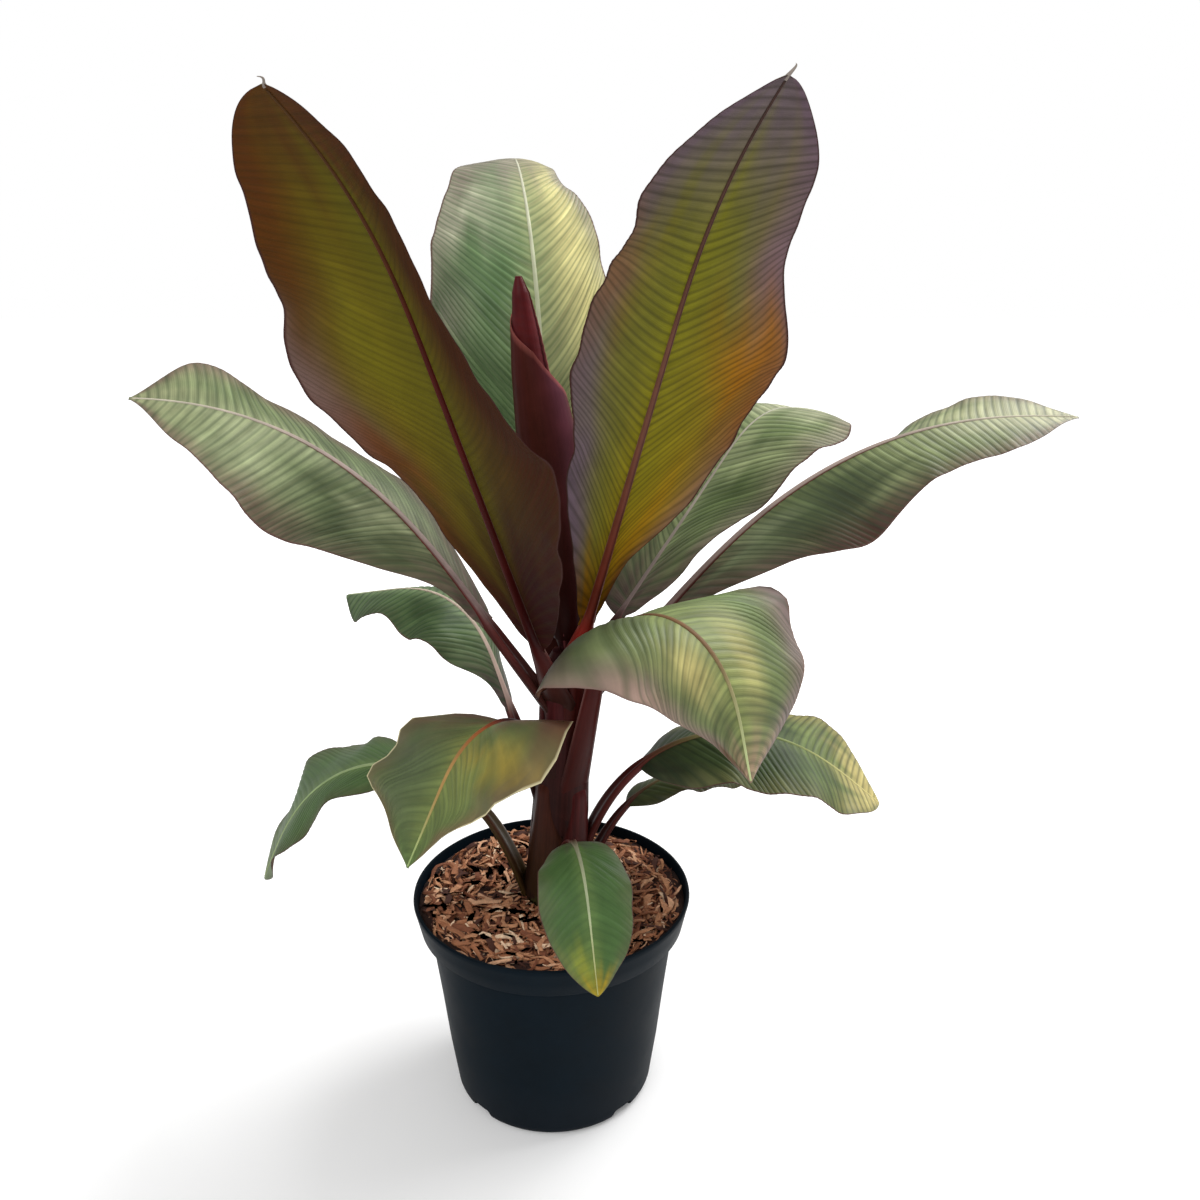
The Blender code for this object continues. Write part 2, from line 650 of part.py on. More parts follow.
def build_leaf(leaf, stem_guide, ground_guide):
    low = leaf.seat < FILL_TOP + LOW_SEAT
    build_petiole(leaf, (stem_guide, ground_guide) if low else (stem_guide,))
    name = "blade_" + leaf.name
    if not leaf.split:
        build_blade(leaf, name, 0.0, 1.0)
        return
    gap = GAP / leaf.blade
    build_blade(leaf, name + "_base", 0.0, leaf.split - gap)
    build_blade(leaf, name + "_tip", leaf.split + gap, 1.0)


def build_furled_leaf():
    """The newest leaf, still rolled: a spindle with the step of its free edge."""
    low = np.array([*stem_centre(ROLL_SEAT)[:2], ROLL_SEAT])
    lean = np.array([-math.sin(ROLL_LEAN), 0.0, math.cos(ROLL_LEAN)])
    rings = []
    for share, radius in ROLL_PROFILE:
        centre = low + lean * ROLL_LENGTH * share
        ring = []
        for side in range(ROLL_SIDES):
            around = side / ROLL_SIDES
            angle = 2.0 * math.pi * (around + ROLL_TWIST * share) + ROLL_START
            reach = radius * (1.0 - ROLL_STEP * around)
            ring.append(centre + reach * np.array([math.cos(angle), math.sin(angle), 0.0]))
        rings.append(ring)
    points, faces = loft(rings)
    return add_object("furled_leaf", points, faces, finish("furled_leaf", FURLED_RED, 0.35))


def clear_scene():
    for piece in list(bpy.data.objects):
        bpy.data.objects.remove(piece, do_unlink=True)


def main():
    clear_scene()
    build_pot()
    build_fill()
    build_stem()
    stem_guide = stem_cutter()
    ground_guide = ground_cutter()
    for leaf in LEAVES:
        build_leaf(leaf, stem_guide, ground_guide)
    build_furled_leaf()


if __name__ == "__main__":
    main()
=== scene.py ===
"""Potted red abyssinian banana, dressed: leaves, ribs, stem, bark chips, pot and studio."""

import math
from dataclasses import dataclass, field, replace
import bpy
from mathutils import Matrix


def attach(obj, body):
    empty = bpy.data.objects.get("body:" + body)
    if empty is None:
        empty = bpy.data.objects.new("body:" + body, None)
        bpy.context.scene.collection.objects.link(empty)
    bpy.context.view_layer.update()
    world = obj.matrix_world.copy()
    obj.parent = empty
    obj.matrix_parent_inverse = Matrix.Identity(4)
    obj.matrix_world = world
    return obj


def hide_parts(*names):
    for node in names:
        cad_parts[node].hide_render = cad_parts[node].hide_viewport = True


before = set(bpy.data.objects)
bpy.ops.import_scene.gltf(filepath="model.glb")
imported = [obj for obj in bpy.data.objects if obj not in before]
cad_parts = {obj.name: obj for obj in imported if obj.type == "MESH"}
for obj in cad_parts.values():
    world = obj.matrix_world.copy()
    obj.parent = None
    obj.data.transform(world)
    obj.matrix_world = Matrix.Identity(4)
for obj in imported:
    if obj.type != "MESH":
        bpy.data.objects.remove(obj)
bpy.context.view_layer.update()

from types import SimpleNamespace

import bmesh
import bpy
import numpy as np
from bpy.props import FloatProperty, FloatVectorProperty, IntProperty, PointerProperty
from bpy.types import Operator, Panel, PropertyGroup

bl_info = {
    "name": "Potted red abyssinian banana",
    "version": (1, 0, 0),
    "blender": (4, 5, 0),
    "location": "3D View > Sidebar > Banana",
    "description": "Builds a young red-leaved banana plant in a nursery pot",
    "category": "Add Mesh",
}

# ---- sizes of the pot, the mulch and the stem, in metres -----------------------------

RIM_RADIUS = 0.140
BASE_RADIUS = 0.103
POT_HEIGHT = 0.225
WALL = 0.0025
BAND_HEIGHT = 0.032
BAND_TAPER = 0.006
BAND_STEP = 0.010
COLLAR = RIM_RADIUS - BAND_TAPER     # radius of the collar's foot
BODY_TOP = COLLAR - BAND_STEP        # radius of the body just under it
SHOULDER = POT_HEIGHT - BAND_HEIGHT  # height of the collar's foot
CORNER_RADIUS = 0.012
FLOOR_THICKNESS = 0.018      # over the hollow between the feet
NOTCH_COUNT = 4
NOTCH_WIDTH = 0.038
NOTCH_HEIGHT = 0.0125
NOTCH_DEPTH = 0.050
NOTCH_OVERRUN = 0.02         # how far outside the pot the cutting block goes on
NOTCH_TOP = 0.62             # width of a notch's top against its foot's
NOTCH_ROUND = 0.003

BED_RADIUS = 0.1345
BED_LEVEL = 0.2150           # mean level of the fines under the chips
BED_DEPTH = 0.014

STEM_OFFSET = 0.004          # the stem's axis is this far right of the pot's at LEAN_FROM
STEM_LEAN = math.radians(3.0)
LEAN_FROM = 0.2
STEM_TOP = 0.485
STEM_FOOT = 0.2120
STEM_PROFILE = (             # height, radius
    (0.2120, 0.0345),
    (0.2153, 0.0340),
    (0.2300, 0.0325),
    (0.2600, 0.0295),
    (0.3000, 0.0270),
    (0.3500, 0.0245),
    (0.4000, 0.0225),
    (0.4600, 0.0215),
    (0.4750, 0.0200),
    (STEM_TOP, 0.0150),
)
SHEATH_STEP = 0.0016         # how far a sheath's free edge stands out
SHEATH_TURN = 2.2            # how far the free edges wind, foot to top

MILLIMETRE = 0.001
RIB_FOOT = 0.0078            # half-width of a long leaf's rib where the blade starts
RIB_TIP = 0.0014
RIB_TAPER = 0.7              # how early the rib narrows
RIB_MARGIN = 1.15            # a blade is at least this much wider than its rib
BASE_RUN = 0.04              # share of a blade over which its base rounds off
TIP_RUN = 0.12               # the same at its tip
LOBE_RUN = 0.2               # share of a blade that its basal lobes bend
CURL_STEPS = 24
WAVE_REACH = 1.6             # how late the edge waves grow out from the rib
EDGE_LAG = 1.9               # how far the right edge's waves trail the left's, in radians
PETIOLE_DROP = 0.035         # a low petiole's root is this far below its seat
ROOT_DROP = 0.090            # how far down the stem a high petiole can still be made out
PETIOLE_ROOT = 0.35          # a root's distance from the stem's axis, against its seat's

ROLL_SEAT = 0.4853
ROLL_LENGTH = 0.345
ROLL_LEAN = math.radians(6.5)
ROLL_STEP = 0.16             # how much smaller its radius is after one turn
ROLL_PROFILE = (             # share of the length, radius
    (0.00, 0.0080),
    (0.08, 0.0140),
    (0.18, 0.0185),
    (0.35, 0.0205),
    (0.60, 0.0200),
    (0.76, 0.0165),
    (0.88, 0.0120),
    (0.96, 0.0080),
    (1.00, 0.0030),
)

VEIN_ROWS = 4                # rows of faces from one side vein to the next
LANES = 12                   # columns of faces in each half of a blade


@dataclass
class Leaf:
    """One leaf.  Lengths in metres, angles in degrees."""

    name: str
    seat: float              # height at which the rib leaves the stem
    compass: float           # direction it grows in, anticlockwise from +X
    petiole: float
    blade: float
    width: float
    rise: float              # climb of the rib at its foot, above level
    settle: float            # climb of the rib at its tip
    bend: tuple = (0.2, 1.0)     # stretch of the rib over which it bends
    swing: float = 0.0       # how much the direction turns by the tip
    out: float = 0.015       # distance from the stem's axis at the seat
    roll: tuple = (0, 0)     # turn of the blade about its rib, at base and tip
    fold: tuple = (0, 0)     # lift of both halves at the rib, at base and tip
    curl: tuple = (-15, -15)     # further bend of each half out to its edge
    uneven: float = 0.0      # how much wider the left half is than the mean
    hold: float = 0.0        # share of the blade before roll, fold and curl begin to change
    widest: float = 0.5      # where the blade is widest, from its base
    shoulder: float = 2.2    # how square the base is
    taper: float = 2.0       # how late the blade narrows
    point: float = 0.8       # how sharp the tip is
    lobe: float = 0.0        # how far the base's corners reach back
    waves: float = 3.0       # waves along each edge
    wave: float = 0.006      # and their height
    left: tuple = ()         # width of the left half in mm, at even steps from base to tip
    right: tuple = ()        # the same of the right half; without them, the rule above
    left_fold: tuple = ()    # fold and curl of the left half, where it has its own
    left_curl: tuple = ()
    thick: float = 1.0       # petiole and rib against a long leaf's
    split: float = 0.0       # where the solid blade is divided at its bend, or 0
    tail: float = 0.0        # length of the dry thread at the tip


LEAVES = (
    Leaf("mid_back", 0.375, 86, 0.12, 0.26, 0.085, 68, 30, (0.3, 1.1),
         fold=(10, 5), curl=(-20, -20), thick=0.8),
    Leaf("tall_back", 0.440, 112, 0.12, 0.457, 0.185, 83, -10, (0.45, 1.2), swing=-14,
         out=0.026, fold=(8, 8), curl=(-25, -25), waves=2.5,
         left=(10, 55, 85, 102, 97, 88, 68, 45), right=(10, 50, 72, 80, 70, 62, 38, 40)),
    Leaf("upright_right", 0.455, 39, 0.07, 0.325, 0.195, 45, -35, (0.66, 1.1),
         fold=(14, 8), curl=(-24, -24), thick=0.8,
         left=(24, 50, 66, 78, 83, 80, 63, 34), right=(14, 34, 50, 68, 88, 99, 98, 50)),
    Leaf("short_left", 0.330, 155, 0.09, 0.252, 0.120, 69, -14, (0.38, 0.85), out=0.022,
         fold=(-5, -10), curl=(-25, -25), thick=0.8,
         left=(8, 18, 46, 64, 58, 46, 44, 12), right=(8, 24, 40, 48, 48, 44, 30, 10)),
    Leaf("long_right", 0.430, 10, 0.10, 0.480, 0.165, 48, -5, (0.2, 1.05),
         roll=(5, 22), fold=(-38, 8), hold=0.43, left_fold=(-34, 14),
         left=(10, 17, 28, 36, 41, 45, 43, 5), right=(10, 26, 56, 79, 67, 51, 39, 5)),
    Leaf("long_left", 0.430, 180, 0.10, 0.395, 0.180, 56, -6, (0.25, 1.2),
         roll=(-10, -18), fold=(10, 30), curl=(-12, -12), hold=0.3, left_fold=(-40, -3),
         left=(10, 20, 50, 82, 89, 80, 48, 5), right=(10, 30, 44, 37, 26, 28, 50, 5)),
    Leaf("small_right", 0.220, 26, 0.10, 0.16, 0.055, 60, -22, (0.12, 0.9), out=0.022,
         fold=(-10, -10), curl=(-20, -20), thick=0.6, wave=0.003),
    Leaf("low_right", 0.240, 4, 0.14, 0.28, 0.140, 73, -42, (0.0, 0.95),
         roll=(10, 15), fold=(-20, 10), curl=(-12, -12), widest=0.62, taper=2.4,
         thick=0.8, split=0.45),
    Leaf("tall_left", 0.440, -120, 0.07, 0.545, 0.195, 63, 34, (0.62, 1.08),
         roll=(-5, -2), fold=(-5, -14), curl=(-10, -10), left_fold=(-5, -6),
         left=(12, 54, 86, 96, 56, 29, 35, 40), right=(10, 30, 58, 86, 118, 97, 70, 50),
         tail=0.008),
    Leaf("tall_right", 0.480, -62, 0.05, 0.52, 0.190, 63, 38, (0.6, 1.1),
         fold=(0, -12), curl=(-10, -10),
         left=(8, 24, 63, 88, 93, 70, 57, 30), right=(8, 30, 54, 71, 90, 84, 84, 45),
         tail=0.012),
    Leaf("arching_right", 0.340, -46, 0.165, 0.266, 0.228, 76, -76, (0.28, 0.92), swing=8,
         roll=(-12, 15), fold=(10, -20), curl=(-60, -15), lobe=0.03, split=0.42,
         left_fold=(15, -4), left_curl=(-25, -12),
         left=(22, 77, 118, 138, 130, 102, 68, 8), right=(85, 118, 135, 95, 80, 58, 24, 4)),
    Leaf("low_left", 0.200, 176, 0.175, 0.265, 0.156, 70, -66, (0.08, 0.95), out=0.020,
         roll=(0, -12), uneven=-0.22, fold=(-5, 5), curl=(-10, -10), widest=0.62,
         shoulder=1.4, thick=0.8, split=0.45),
    Leaf("arching_left", 0.348, -137, 0.11, 0.165, 0.208, 78, -58, (0.05, 0.75),
         roll=(0, 9), fold=(5, 12), curl=(-12, -12), lobe=0.02, thick=0.9,
         left_fold=(26, -12), left_curl=(-25, -15),
         left=(82, 112, 114, 84, 57, 32, 14, 3), right=(10, 52, 80, 92, 97, 94, 54, 5)),
    Leaf("small_front", 0.263, -77, 0.08, 0.153, 0.088, 62, -60, (0.05, 0.75), out=0.022,
         widest=0.45, thick=0.5, wave=0.003),
)


# ---- colours -------------------------------------------------------------------------

@dataclass
class Paint:
    """One side of a blade.  Colours are sRGB hex; places are shares of the blade, with
    the left half positive across."""

    foot: str = "#857a70"
    body: str = "#7f9470"
    tip: str = "#97967f"
    edge: str = "#92887c"
    near: str = "#90a680"        # beside the rib
    edge_from: float = 0.55      # where each of these colours begins or ends
    foot_to: float = 0.30
    tip_from: float = 0.75
    colour_and_painted_light_patches: tuple = ()          # colour, along, across, reach along, reach across, strength: some are the blade's own colours, some painted shade and painted highlights
    vein: str = "#50603f"
    veined: float = 0.45         # how strongly the side veins show
    banded: float = 0.30         # how much one strip between veins differs from the next
    margin: str = "#5a4038"      # the fine line at the very edge
    gloss: float = 0.45          # roughness
    shine: float = 0.20          # how much light the wax throws back


UPPER = Paint()
UNDER = Paint(foot="#5a3226", body="#6f6230", tip="#6e5438", edge="#684637", near="#75682e",
              vein="#3f2c1c", veined=0.35, banded=0.2, margin="#3c2420", gloss=0.55,
              shine=0.04)


@dataclass
class Skin:
    """A leaf's colours: both sides, its rib from base to tip, and its petiole."""

    upper: Paint = field(default_factory=lambda: UPPER)
    under: Paint = field(default_factory=lambda: UNDER)
    rib_top: tuple = ("#a8978c", "#b4ab98", "#a9ab8c")
    rib_under: tuple = ("#4e1c1a", "#5a2a20", "#6a5a34")
    petiole: tuple = ("#2e1813", "#421614")      # at the stem and at the blade
    flare: float = 1.5           # how much wider the petiole is where it leaves the stem
    slant: float = 44.0          # degrees between a side vein and the rib
    pleat: float = 1.0           # how strong the pleats between them are
    rim: str = "#6e3a36"         # the raised edges of the petiole's groove
    stripe: str = ""             # a line down the middle of the rib's underside


SKINS = {
    "mid_back": Skin(),
    "tall_back": Skin(
        upper=replace(
            UPPER, foot="#5f7a52", body="#70886a", tip="#8c8684", edge="#8c8682",
            near="#a2b08c", vein="#4d6c44", veined=0.4, banded=0.4, tip_from=0.72,
            # The cream on the right half is its own colour with painted light in it; the dark
            # patch at the left edge is painted shadow, the pale grey one beside it a painted
            # sheen.
            colour_and_painted_light_patches=(("#d6d29c", 0.62, -0.60, 0.40, 0.46, 0.95),
                     ("#4c7044", 0.60, 0.35, 0.10, 0.40, 0.80),
                     ("#55724c", 0.34, 0.45, 0.12, 0.50, 0.70),
                     ("#b0b3a8", 0.74, 0.72, 0.07, 0.36, 0.80),
                     ("#45543e", 0.56, 0.95, 0.07, 0.28, 0.80),
                     ("#85817f", 0.82, -0.98, 0.12, 0.22, 0.85),
                     ("#8e8c84", 0.96, 0.20, 0.08, 0.90, 0.60))),
        rib_top=("#8f9a78", "#b3b698", "#c3c2ac"), slant=28.0),
    "upright_right": Skin(
        upper=replace(
            UPPER, foot="#5f5150", foot_to=0.38, body="#72865f", tip="#a5ab98", edge="#857c76",
            near="#8c9c78", vein="#3f5034", veined=0.5, banded=0.45,
            # The two dark patches are painted shadow and the two pale ones painted highlights.
            colour_and_painted_light_patches=(("#586d44", 0.45, -0.55, 0.10, 0.45, 0.75),
                     ("#a3b28c", 0.62, -0.40, 0.07, 0.50, 0.70),
                     ("#61774c", 0.76, -0.50, 0.06, 0.45, 0.60),
                     ("#b0b8a2", 0.92, 0.10, 0.10, 0.90, 0.70))),
        rib_top=("#857370", "#a69c90", "#adad9a")),
    "short_left": Skin(
        upper=replace(
            UPPER, foot="#5f5458", foot_to=0.40, body="#56714c", tip="#61795a", edge="#4b5a42",
            near="#86a27c", vein="#2f4a2c", veined=0.55, banded=0.35,
            colour_and_painted_light_patches=(("#33462c", 0.52, 0.55, 0.10, 0.40, 0.75),
                     ("#71866a", 0.30, 0.50, 0.10, 0.50, 0.50))),
        under=replace(UNDER, body="#87882f", edge="#7a7232"),
        rib_top=("#c9aca0", "#dac8b6", "#c2cca8")),
    "long_right": Skin(
        upper=replace(
            UPPER, foot="#54443f", foot_to=0.42, body="#5c6f4a", tip="#a0a38c", edge="#6c5e58",
            near="#788862", vein="#36432c", veined=0.5, banded=0.45,
            # The dark patch on the right half is painted shadow and the pale green-grey ones
            # painted highlights; the maroon one at the edge is its own colour.
            colour_and_painted_light_patches=(("#323f26", 0.46, -0.50, 0.17, 0.50, 0.90),
                     ("#472c28", 0.46, -0.98, 0.20, 0.30, 0.90),
                     ("#a5ab90", 0.82, 0.20, 0.16, 0.80, 0.75),
                     ("#8b9b74", 0.62, -0.30, 0.08, 0.50, 0.75),
                     ("#86967a", 0.26, -0.25, 0.07, 0.40, 0.50))),
        rib_top=("#7d6863", "#a08f86", "#a9a38f")),
    "long_left": Skin(
        upper=replace(
            UPPER, foot="#5a4a4a", foot_to=0.44, body="#6f8160", tip="#8c9579", edge="#776862",
            near="#8c9a7e", vein="#3f4e36", veined=0.45, banded=0.45,
            # The two dark patches are painted shadow and the two pale ones painted highlights;
            # the mauve one at the edge is its own colour.
            colour_and_painted_light_patches=(("#35422a", 0.45, 0.50, 0.08, 0.60, 0.85),
                     ("#435036", 0.28, 0.70, 0.08, 0.40, 0.80),
                     ("#a3af92", 0.72, 0.30, 0.14, 0.60, 0.65),
                     ("#a4ae93", 0.37, 0.15, 0.06, 0.40, 0.55),
                     ("#5c4f46", 0.60, 0.95, 0.12, 0.22, 0.70))),
        rib_top=("#75615e", "#a3928a", "#bcb5a2")),
    "small_right": Skin(
        upper=replace(UPPER, foot="#3a4229", body="#42502f", tip="#5a6238", edge="#4a4a34",
                      near="#566643", vein="#2c3820"),
        rib_top=("#54382c", "#6c6c48", "#7c7c50")),
    "low_right": Skin(
        upper=replace(
            UPPER, foot="#30382a", body="#3e5232", tip="#bab27c", edge="#6a704e",
            near="#53693f", vein="#2b3a24", veined=0.5, banded=0.4, tip_from=0.74,
            colour_and_painted_light_patches=(("#c0b880", 0.90, 0.10, 0.14, 0.95, 0.90),
                     ("#a39c66", 0.60, 0.95, 0.30, 0.25, 0.60),
                     ("#7d9258", 0.68, 0.35, 0.10, 0.50, 0.75),
                     ("#5f7744", 0.72, -0.50, 0.12, 0.40, 0.60))),
        rib_top=("#5c3024", "#8d9a62", "#d9cd92"),
        petiole=("#341812", "#501a17"), flare=2.3),
    "tall_left": Skin(
        under=replace(
            UNDER, foot="#2f0f11", body="#565014", tip="#4a3414", edge="#4a2a16",
            near="#585a18", foot_to=0.34, tip_from=0.80, edge_from=0.45, vein="#33290f",
            veined=0.24, banded=0.14,
            # The violet-grey patch at the edge is a painted sheen.
            colour_and_painted_light_patches=(("#77686f", 0.52, -0.98, 0.12, 0.28, 0.75),
                     ("#3a1c12", 0.55, 0.75, 0.60, 0.62, 0.96),
                     ("#52301a", 0.96, 0.30, 0.10, 0.80, 0.70),
                     ("#6b6917", 0.58, -0.42, 0.22, 0.28, 0.75),
                     ("#56300f", 0.82, -0.85, 0.20, 0.40, 0.75),
                     ("#6a3818", 0.40, -0.80, 0.10, 0.30, 0.60),
                     ("#2c0d11", 0.14, 0.50, 0.20, 0.90, 0.94))),
        rib_under=("#340a09", "#420f0b", "#4c3216"), slant=31.0, pleat=0.35),
    "tall_right": Skin(
        under=replace(
            # The golden foot and the golden patches beside the rib are partly its own colour and
            # partly painted light shining through the blade.
            UNDER, foot="#9a6a10", body="#6a6c26", tip="#665c68", edge="#645468",
            near="#7a7c1e", foot_to=0.26, tip_from=0.72, edge_from=0.55, vein="#2c2a1a",
            veined=0.40, banded=0.25,
            colour_and_painted_light_patches=(("#7b5a38", 0.70, -0.92, 0.10, 0.35, 0.80),
                     ("#74606f", 0.72, 0.92, 0.15, 0.32, 0.85),
                     ("#9e6612", 0.55, 0.72, 0.09, 0.34, 0.95),
                     ("#7c4822", 0.44, 0.95, 0.10, 0.25, 0.85),
                     ("#a87a14", 0.22, 0.42, 0.20, 0.50, 0.95),
                     ("#6a3a1a", 0.10, 0.95, 0.12, 0.30, 0.85),
                     ("#685a70", 0.36, -0.90, 0.20, 0.32, 0.85),
                     ("#7c7a18", 0.36, 0.20, 0.20, 0.45, 0.80))),
        rib_under=("#7a3024", "#70493c", "#463630"), stripe="#33120f",
        petiole=("#4e1611", "#8e241a"), slant=31.0, pleat=0.7),
    "arching_right": Skin(
        upper=replace(
            UPPER, foot="#54514c", body="#687852", tip="#968272", edge="#7c6c70",
            near="#84935e", vein="#465236", veined=0.40, banded=0.45, edge_from=0.58,
            tip_from=0.80, margin="#7c665c", foot_to=0.36,
            colour_and_painted_light_patches=(("#6c845a", 0.42, 0.40, 0.26, 0.45, 0.75),
                     ("#c8c086", 0.58, -0.34, 0.12, 0.20, 0.85),
                     ("#a08a86", 0.52, -0.94, 0.22, 0.17, 0.90),
                     ("#bab67e", 0.62, 0.26, 0.20, 0.14, 0.70),
                     ("#84757c", 0.55, 0.95, 0.30, 0.20, 0.85),
                     ("#526548", 0.20, -0.46, 0.16, 0.42, 0.85),
                     ("#54484e", 0.06, -0.80, 0.18, 0.46, 0.95),
                     ("#776c70", 0.06, 0.80, 0.14, 0.50, 0.95),
                     ("#5c4232", 0.92, -0.85, 0.04, 0.30, 0.95))),
        rib_top=("#4e3026", "#75593f", "#b4c08a"), rim="#c99c94",
        petiole=("#3a1511", "#501a17"), slant=38.0),
    "low_left": Skin(
        upper=replace(UPPER, foot="#4c5a40", body="#4e6c42", tip="#5f7646", edge="#525e42",
                      near="#66824f", vein="#3c5834", veined=0.25, banded=0.2),
        rib_top=("#7f8a62", "#94a878", "#98a872"), slant=38.0, pleat=0.6,
        petiole=("#33260f", "#4a3a1e"), flare=2.3),
    "arching_left": Skin(
        upper=replace(
            UPPER, foot="#73583e", body="#637648", tip="#5f7a48", edge="#74644f",
            near="#7a8c50", vein="#4d5d37", veined=0.35, banded=0.3, margin="#cfc59c",
            foot_to=0.16,
            colour_and_painted_light_patches=(("#52624a", 0.50, -0.55, 0.40, 0.45, 0.85),
                     ("#5f493f", 0.12, -0.80, 0.18, 0.45, 0.95),
                     ("#6e4a40", 0.03, 0.80, 0.08, 0.50, 0.90),
                     ("#b0983f", 0.30, 0.48, 0.08, 0.42, 0.80),
                     ("#7c5c4c", 0.08, 0.95, 0.14, 0.30, 0.85),
                     ("#8f9a55", 0.42, 0.35, 0.16, 0.25, 0.60))),
        rib_top=("#9a4526", "#a88550", "#9cb074"), slant=40.0, pleat=0.7),
    "small_front": Skin(
        upper=replace(
            UPPER, foot="#545f4a", body="#496a3e", tip="#a8942c", edge="#566648",
            near="#65834f", vein="#34502e", veined=0.18, banded=0.16, tip_from=0.80,
            foot_to=0.15, colour_and_painted_light_patches=(("#8f9a3c", 0.84, -0.40, 0.12, 0.40, 0.80),)),
        rib_top=("#8f8f74", "#a8b28c", "#b8b878"), slant=38.0, pleat=0.7),
}

DRY_THREAD = "#8a8078"
WARMTH = (0.97, 0.90, 0.76, 1.0)     # red, green, blue: the bloom's cool cast taken back
NEAR_REACH = 0.30            # share of a half blade that the colour beside the rib reaches
NEAR_STRENGTH = 0.8
EDGE_STRENGTH = 0.85


def linear(code):
    """Linear red, green, blue and alpha of an sRGB hex colour."""
    parts = [int(code[place:place + 2], 16) / 255.0 for place in (1, 3, 5)]
    curve = [c / 12.92 if c <= 0.04045 else ((c + 0.055) / 1.055) ** 2.4 for c in parts]
    return (*curve, 1.0)


def ease(x):
    """A smooth step from 0 to 1."""
    x = np.clip(x, 0.0, 1.0)
    return x * x * (3.0 - 2.0 * x)


def blend(pair, share):
    """A value on the way from the first of a pair to the second."""
    return pair[0] + (pair[1] - pair[0]) * share


def bell(x, middle, reach):
    """1 at the middle and next to nothing two reaches away from it."""
    return np.exp(-(((x - middle) / reach) ** 2))


def read_off(table, x):
    """The value at x in a table of pairs, straight between them."""
    places, values = zip(*table)
    return np.interp(x, places, values)


def all_over(code, shape):
    """One colour at every point of a grid."""
    return np.zeros((*shape, 4)) + np.array(linear(code))


def towards(colour, code, share):
    """Colours moved a share of the way to a named one."""
    return colour + (np.array(linear(code)) - colour) * np.clip(share, 0.0, 1.0)[..., None]


def add_bands(colour, x, bands):
    """Soft bands laid over a colour: the hex, middle, reach and strength of each."""
    for code, middle, reach, strength in bands:
        colour = towards(colour, code, strength * bell(x, middle, reach))
    return colour


def paint_blade(paint, u, v, drift):
    """The broad colours of one side of a blade; low waves make their borders wander."""
    wander = 0.03 * np.sin(11.0 * v + 7.0 * u + drift) + 0.02 * np.sin(23.0 * v - 5.0 * u)
    place = u + wander
    out = np.abs(v) + 0.06 * np.sin(17.0 * u + drift) + 0.04 * np.sin(41.0 * u + 3.0 * drift)
    colour = all_over(paint.body, u.shape)
    colour = towards(colour, paint.near, NEAR_STRENGTH * (1.0 - ease(np.abs(v) / NEAR_REACH)))
    colour = towards(colour, paint.tip, ease((place - paint.tip_from) / (1.0 - paint.tip_from)))
    at_edge = ease((out - paint.edge_from) / (1.0 - paint.edge_from))
    colour = towards(colour, paint.edge, EDGE_STRENGTH * at_edge)
    colour = towards(colour, paint.foot, 1.0 - ease(place / paint.foot_to))
    # broad patches: the blade's own colours, painted shade and painted highlights
    for code, at, across, reach, spread, strength in paint.colour_and_painted_light_patches:
        away = ((place - at) / reach) ** 2 + ((v - across) / spread) ** 2
        colour = towards(colour, code, strength * np.exp(-away))
    return colour * np.array(WARMTH)


def paint_line(codes, share):
    """A colour that runs from the first of three through the second to the third."""
    first = towards(all_over(codes[0], share.shape), codes[1], ease(share / 0.5))
    return towards(first, codes[2], ease((share - 0.5) / 0.5))


# ---- materials -----------------------------------------------------------------------

MOTTLE_SIZE = 0.018          # of the patterns in the materials, in metres
STAIN_SIZE = 0.025
SCUFF_SIZE = 0.045
GRIT_SIZE = 0.0009
BARK_GRAIN = 0.004
FINE_LINES = 5.0             # fine lines between two side veins
SPLASH_HEIGHT = 0.07         # how far up the pot the dried splashes fade out


def add_node(tree, kind, inputs=None, **settings):
    """Adds a node: its settings, then each input's value or the socket that feeds it."""
    made = tree.nodes.new("ShaderNode" + kind)
    for key, value in settings.items():
        setattr(made, key, value)
    for key, value in (inputs or {}).items():
        if isinstance(value, bpy.types.NodeSocket):
            tree.links.new(value, made.inputs[key])
        else:
            made.inputs[key].default_value = value
    return made


def add_noise(tree, where, scale, detail, roughness=0.5):
    """A cloudy pattern from 0 to 1."""
    made = add_node(tree, "TexNoise", {
        "Vector": where, "Scale": scale, "Detail": detail, "Roughness": roughness})
    return made.outputs["Fac"]


def calculate(tree, operation, *values):
    """The result of one sum on sockets and numbers."""
    return add_node(tree, "Math", dict(enumerate(values)), operation=operation).outputs[0]


def mix_colours(tree, share, colour, code):
    """The colour moved a share of the way to a named one."""
    made = add_node(tree, "Mix", {0: share, 6: colour, 7: linear(code)}, data_type="RGBA")
    return made.outputs[2]


def own_place(tree):
    """Each point's place in its object's own coordinates."""
    return add_node(tree, "TexCoord").outputs["Object"]


def read_attribute(tree, name, output):
    """What the mesh carries under a name."""
    return add_node(tree, "Attribute", attribute_name=name).outputs[output]


def new_material(name):
    """An empty material with one Principled shader."""
    material = bpy.data.materials.new(name)
    material.use_nodes = True
    tree = material.node_tree
    tree.nodes.clear()
    shader = add_node(tree, "BsdfPrincipled")
    add_node(tree, "OutputMaterial", {"Surface": shader.outputs[0]})
    return material, tree, shader


def shade_by(tree, colour, grey, amount):
    """The colour made lighter and darker by a 0 to 1 pattern about its middle."""
    level = add_node(tree, "MapRange", {
        "Value": grey, "From Min": 0.25, "From Max": 0.75,
        "To Min": 1.0 - amount, "To Max": 1.0 + amount})
    scaled = add_node(tree, "VectorMath", {0: colour, "Scale": level.outputs[0]},
                      operation="SCALE")
    return scaled.outputs["Vector"]


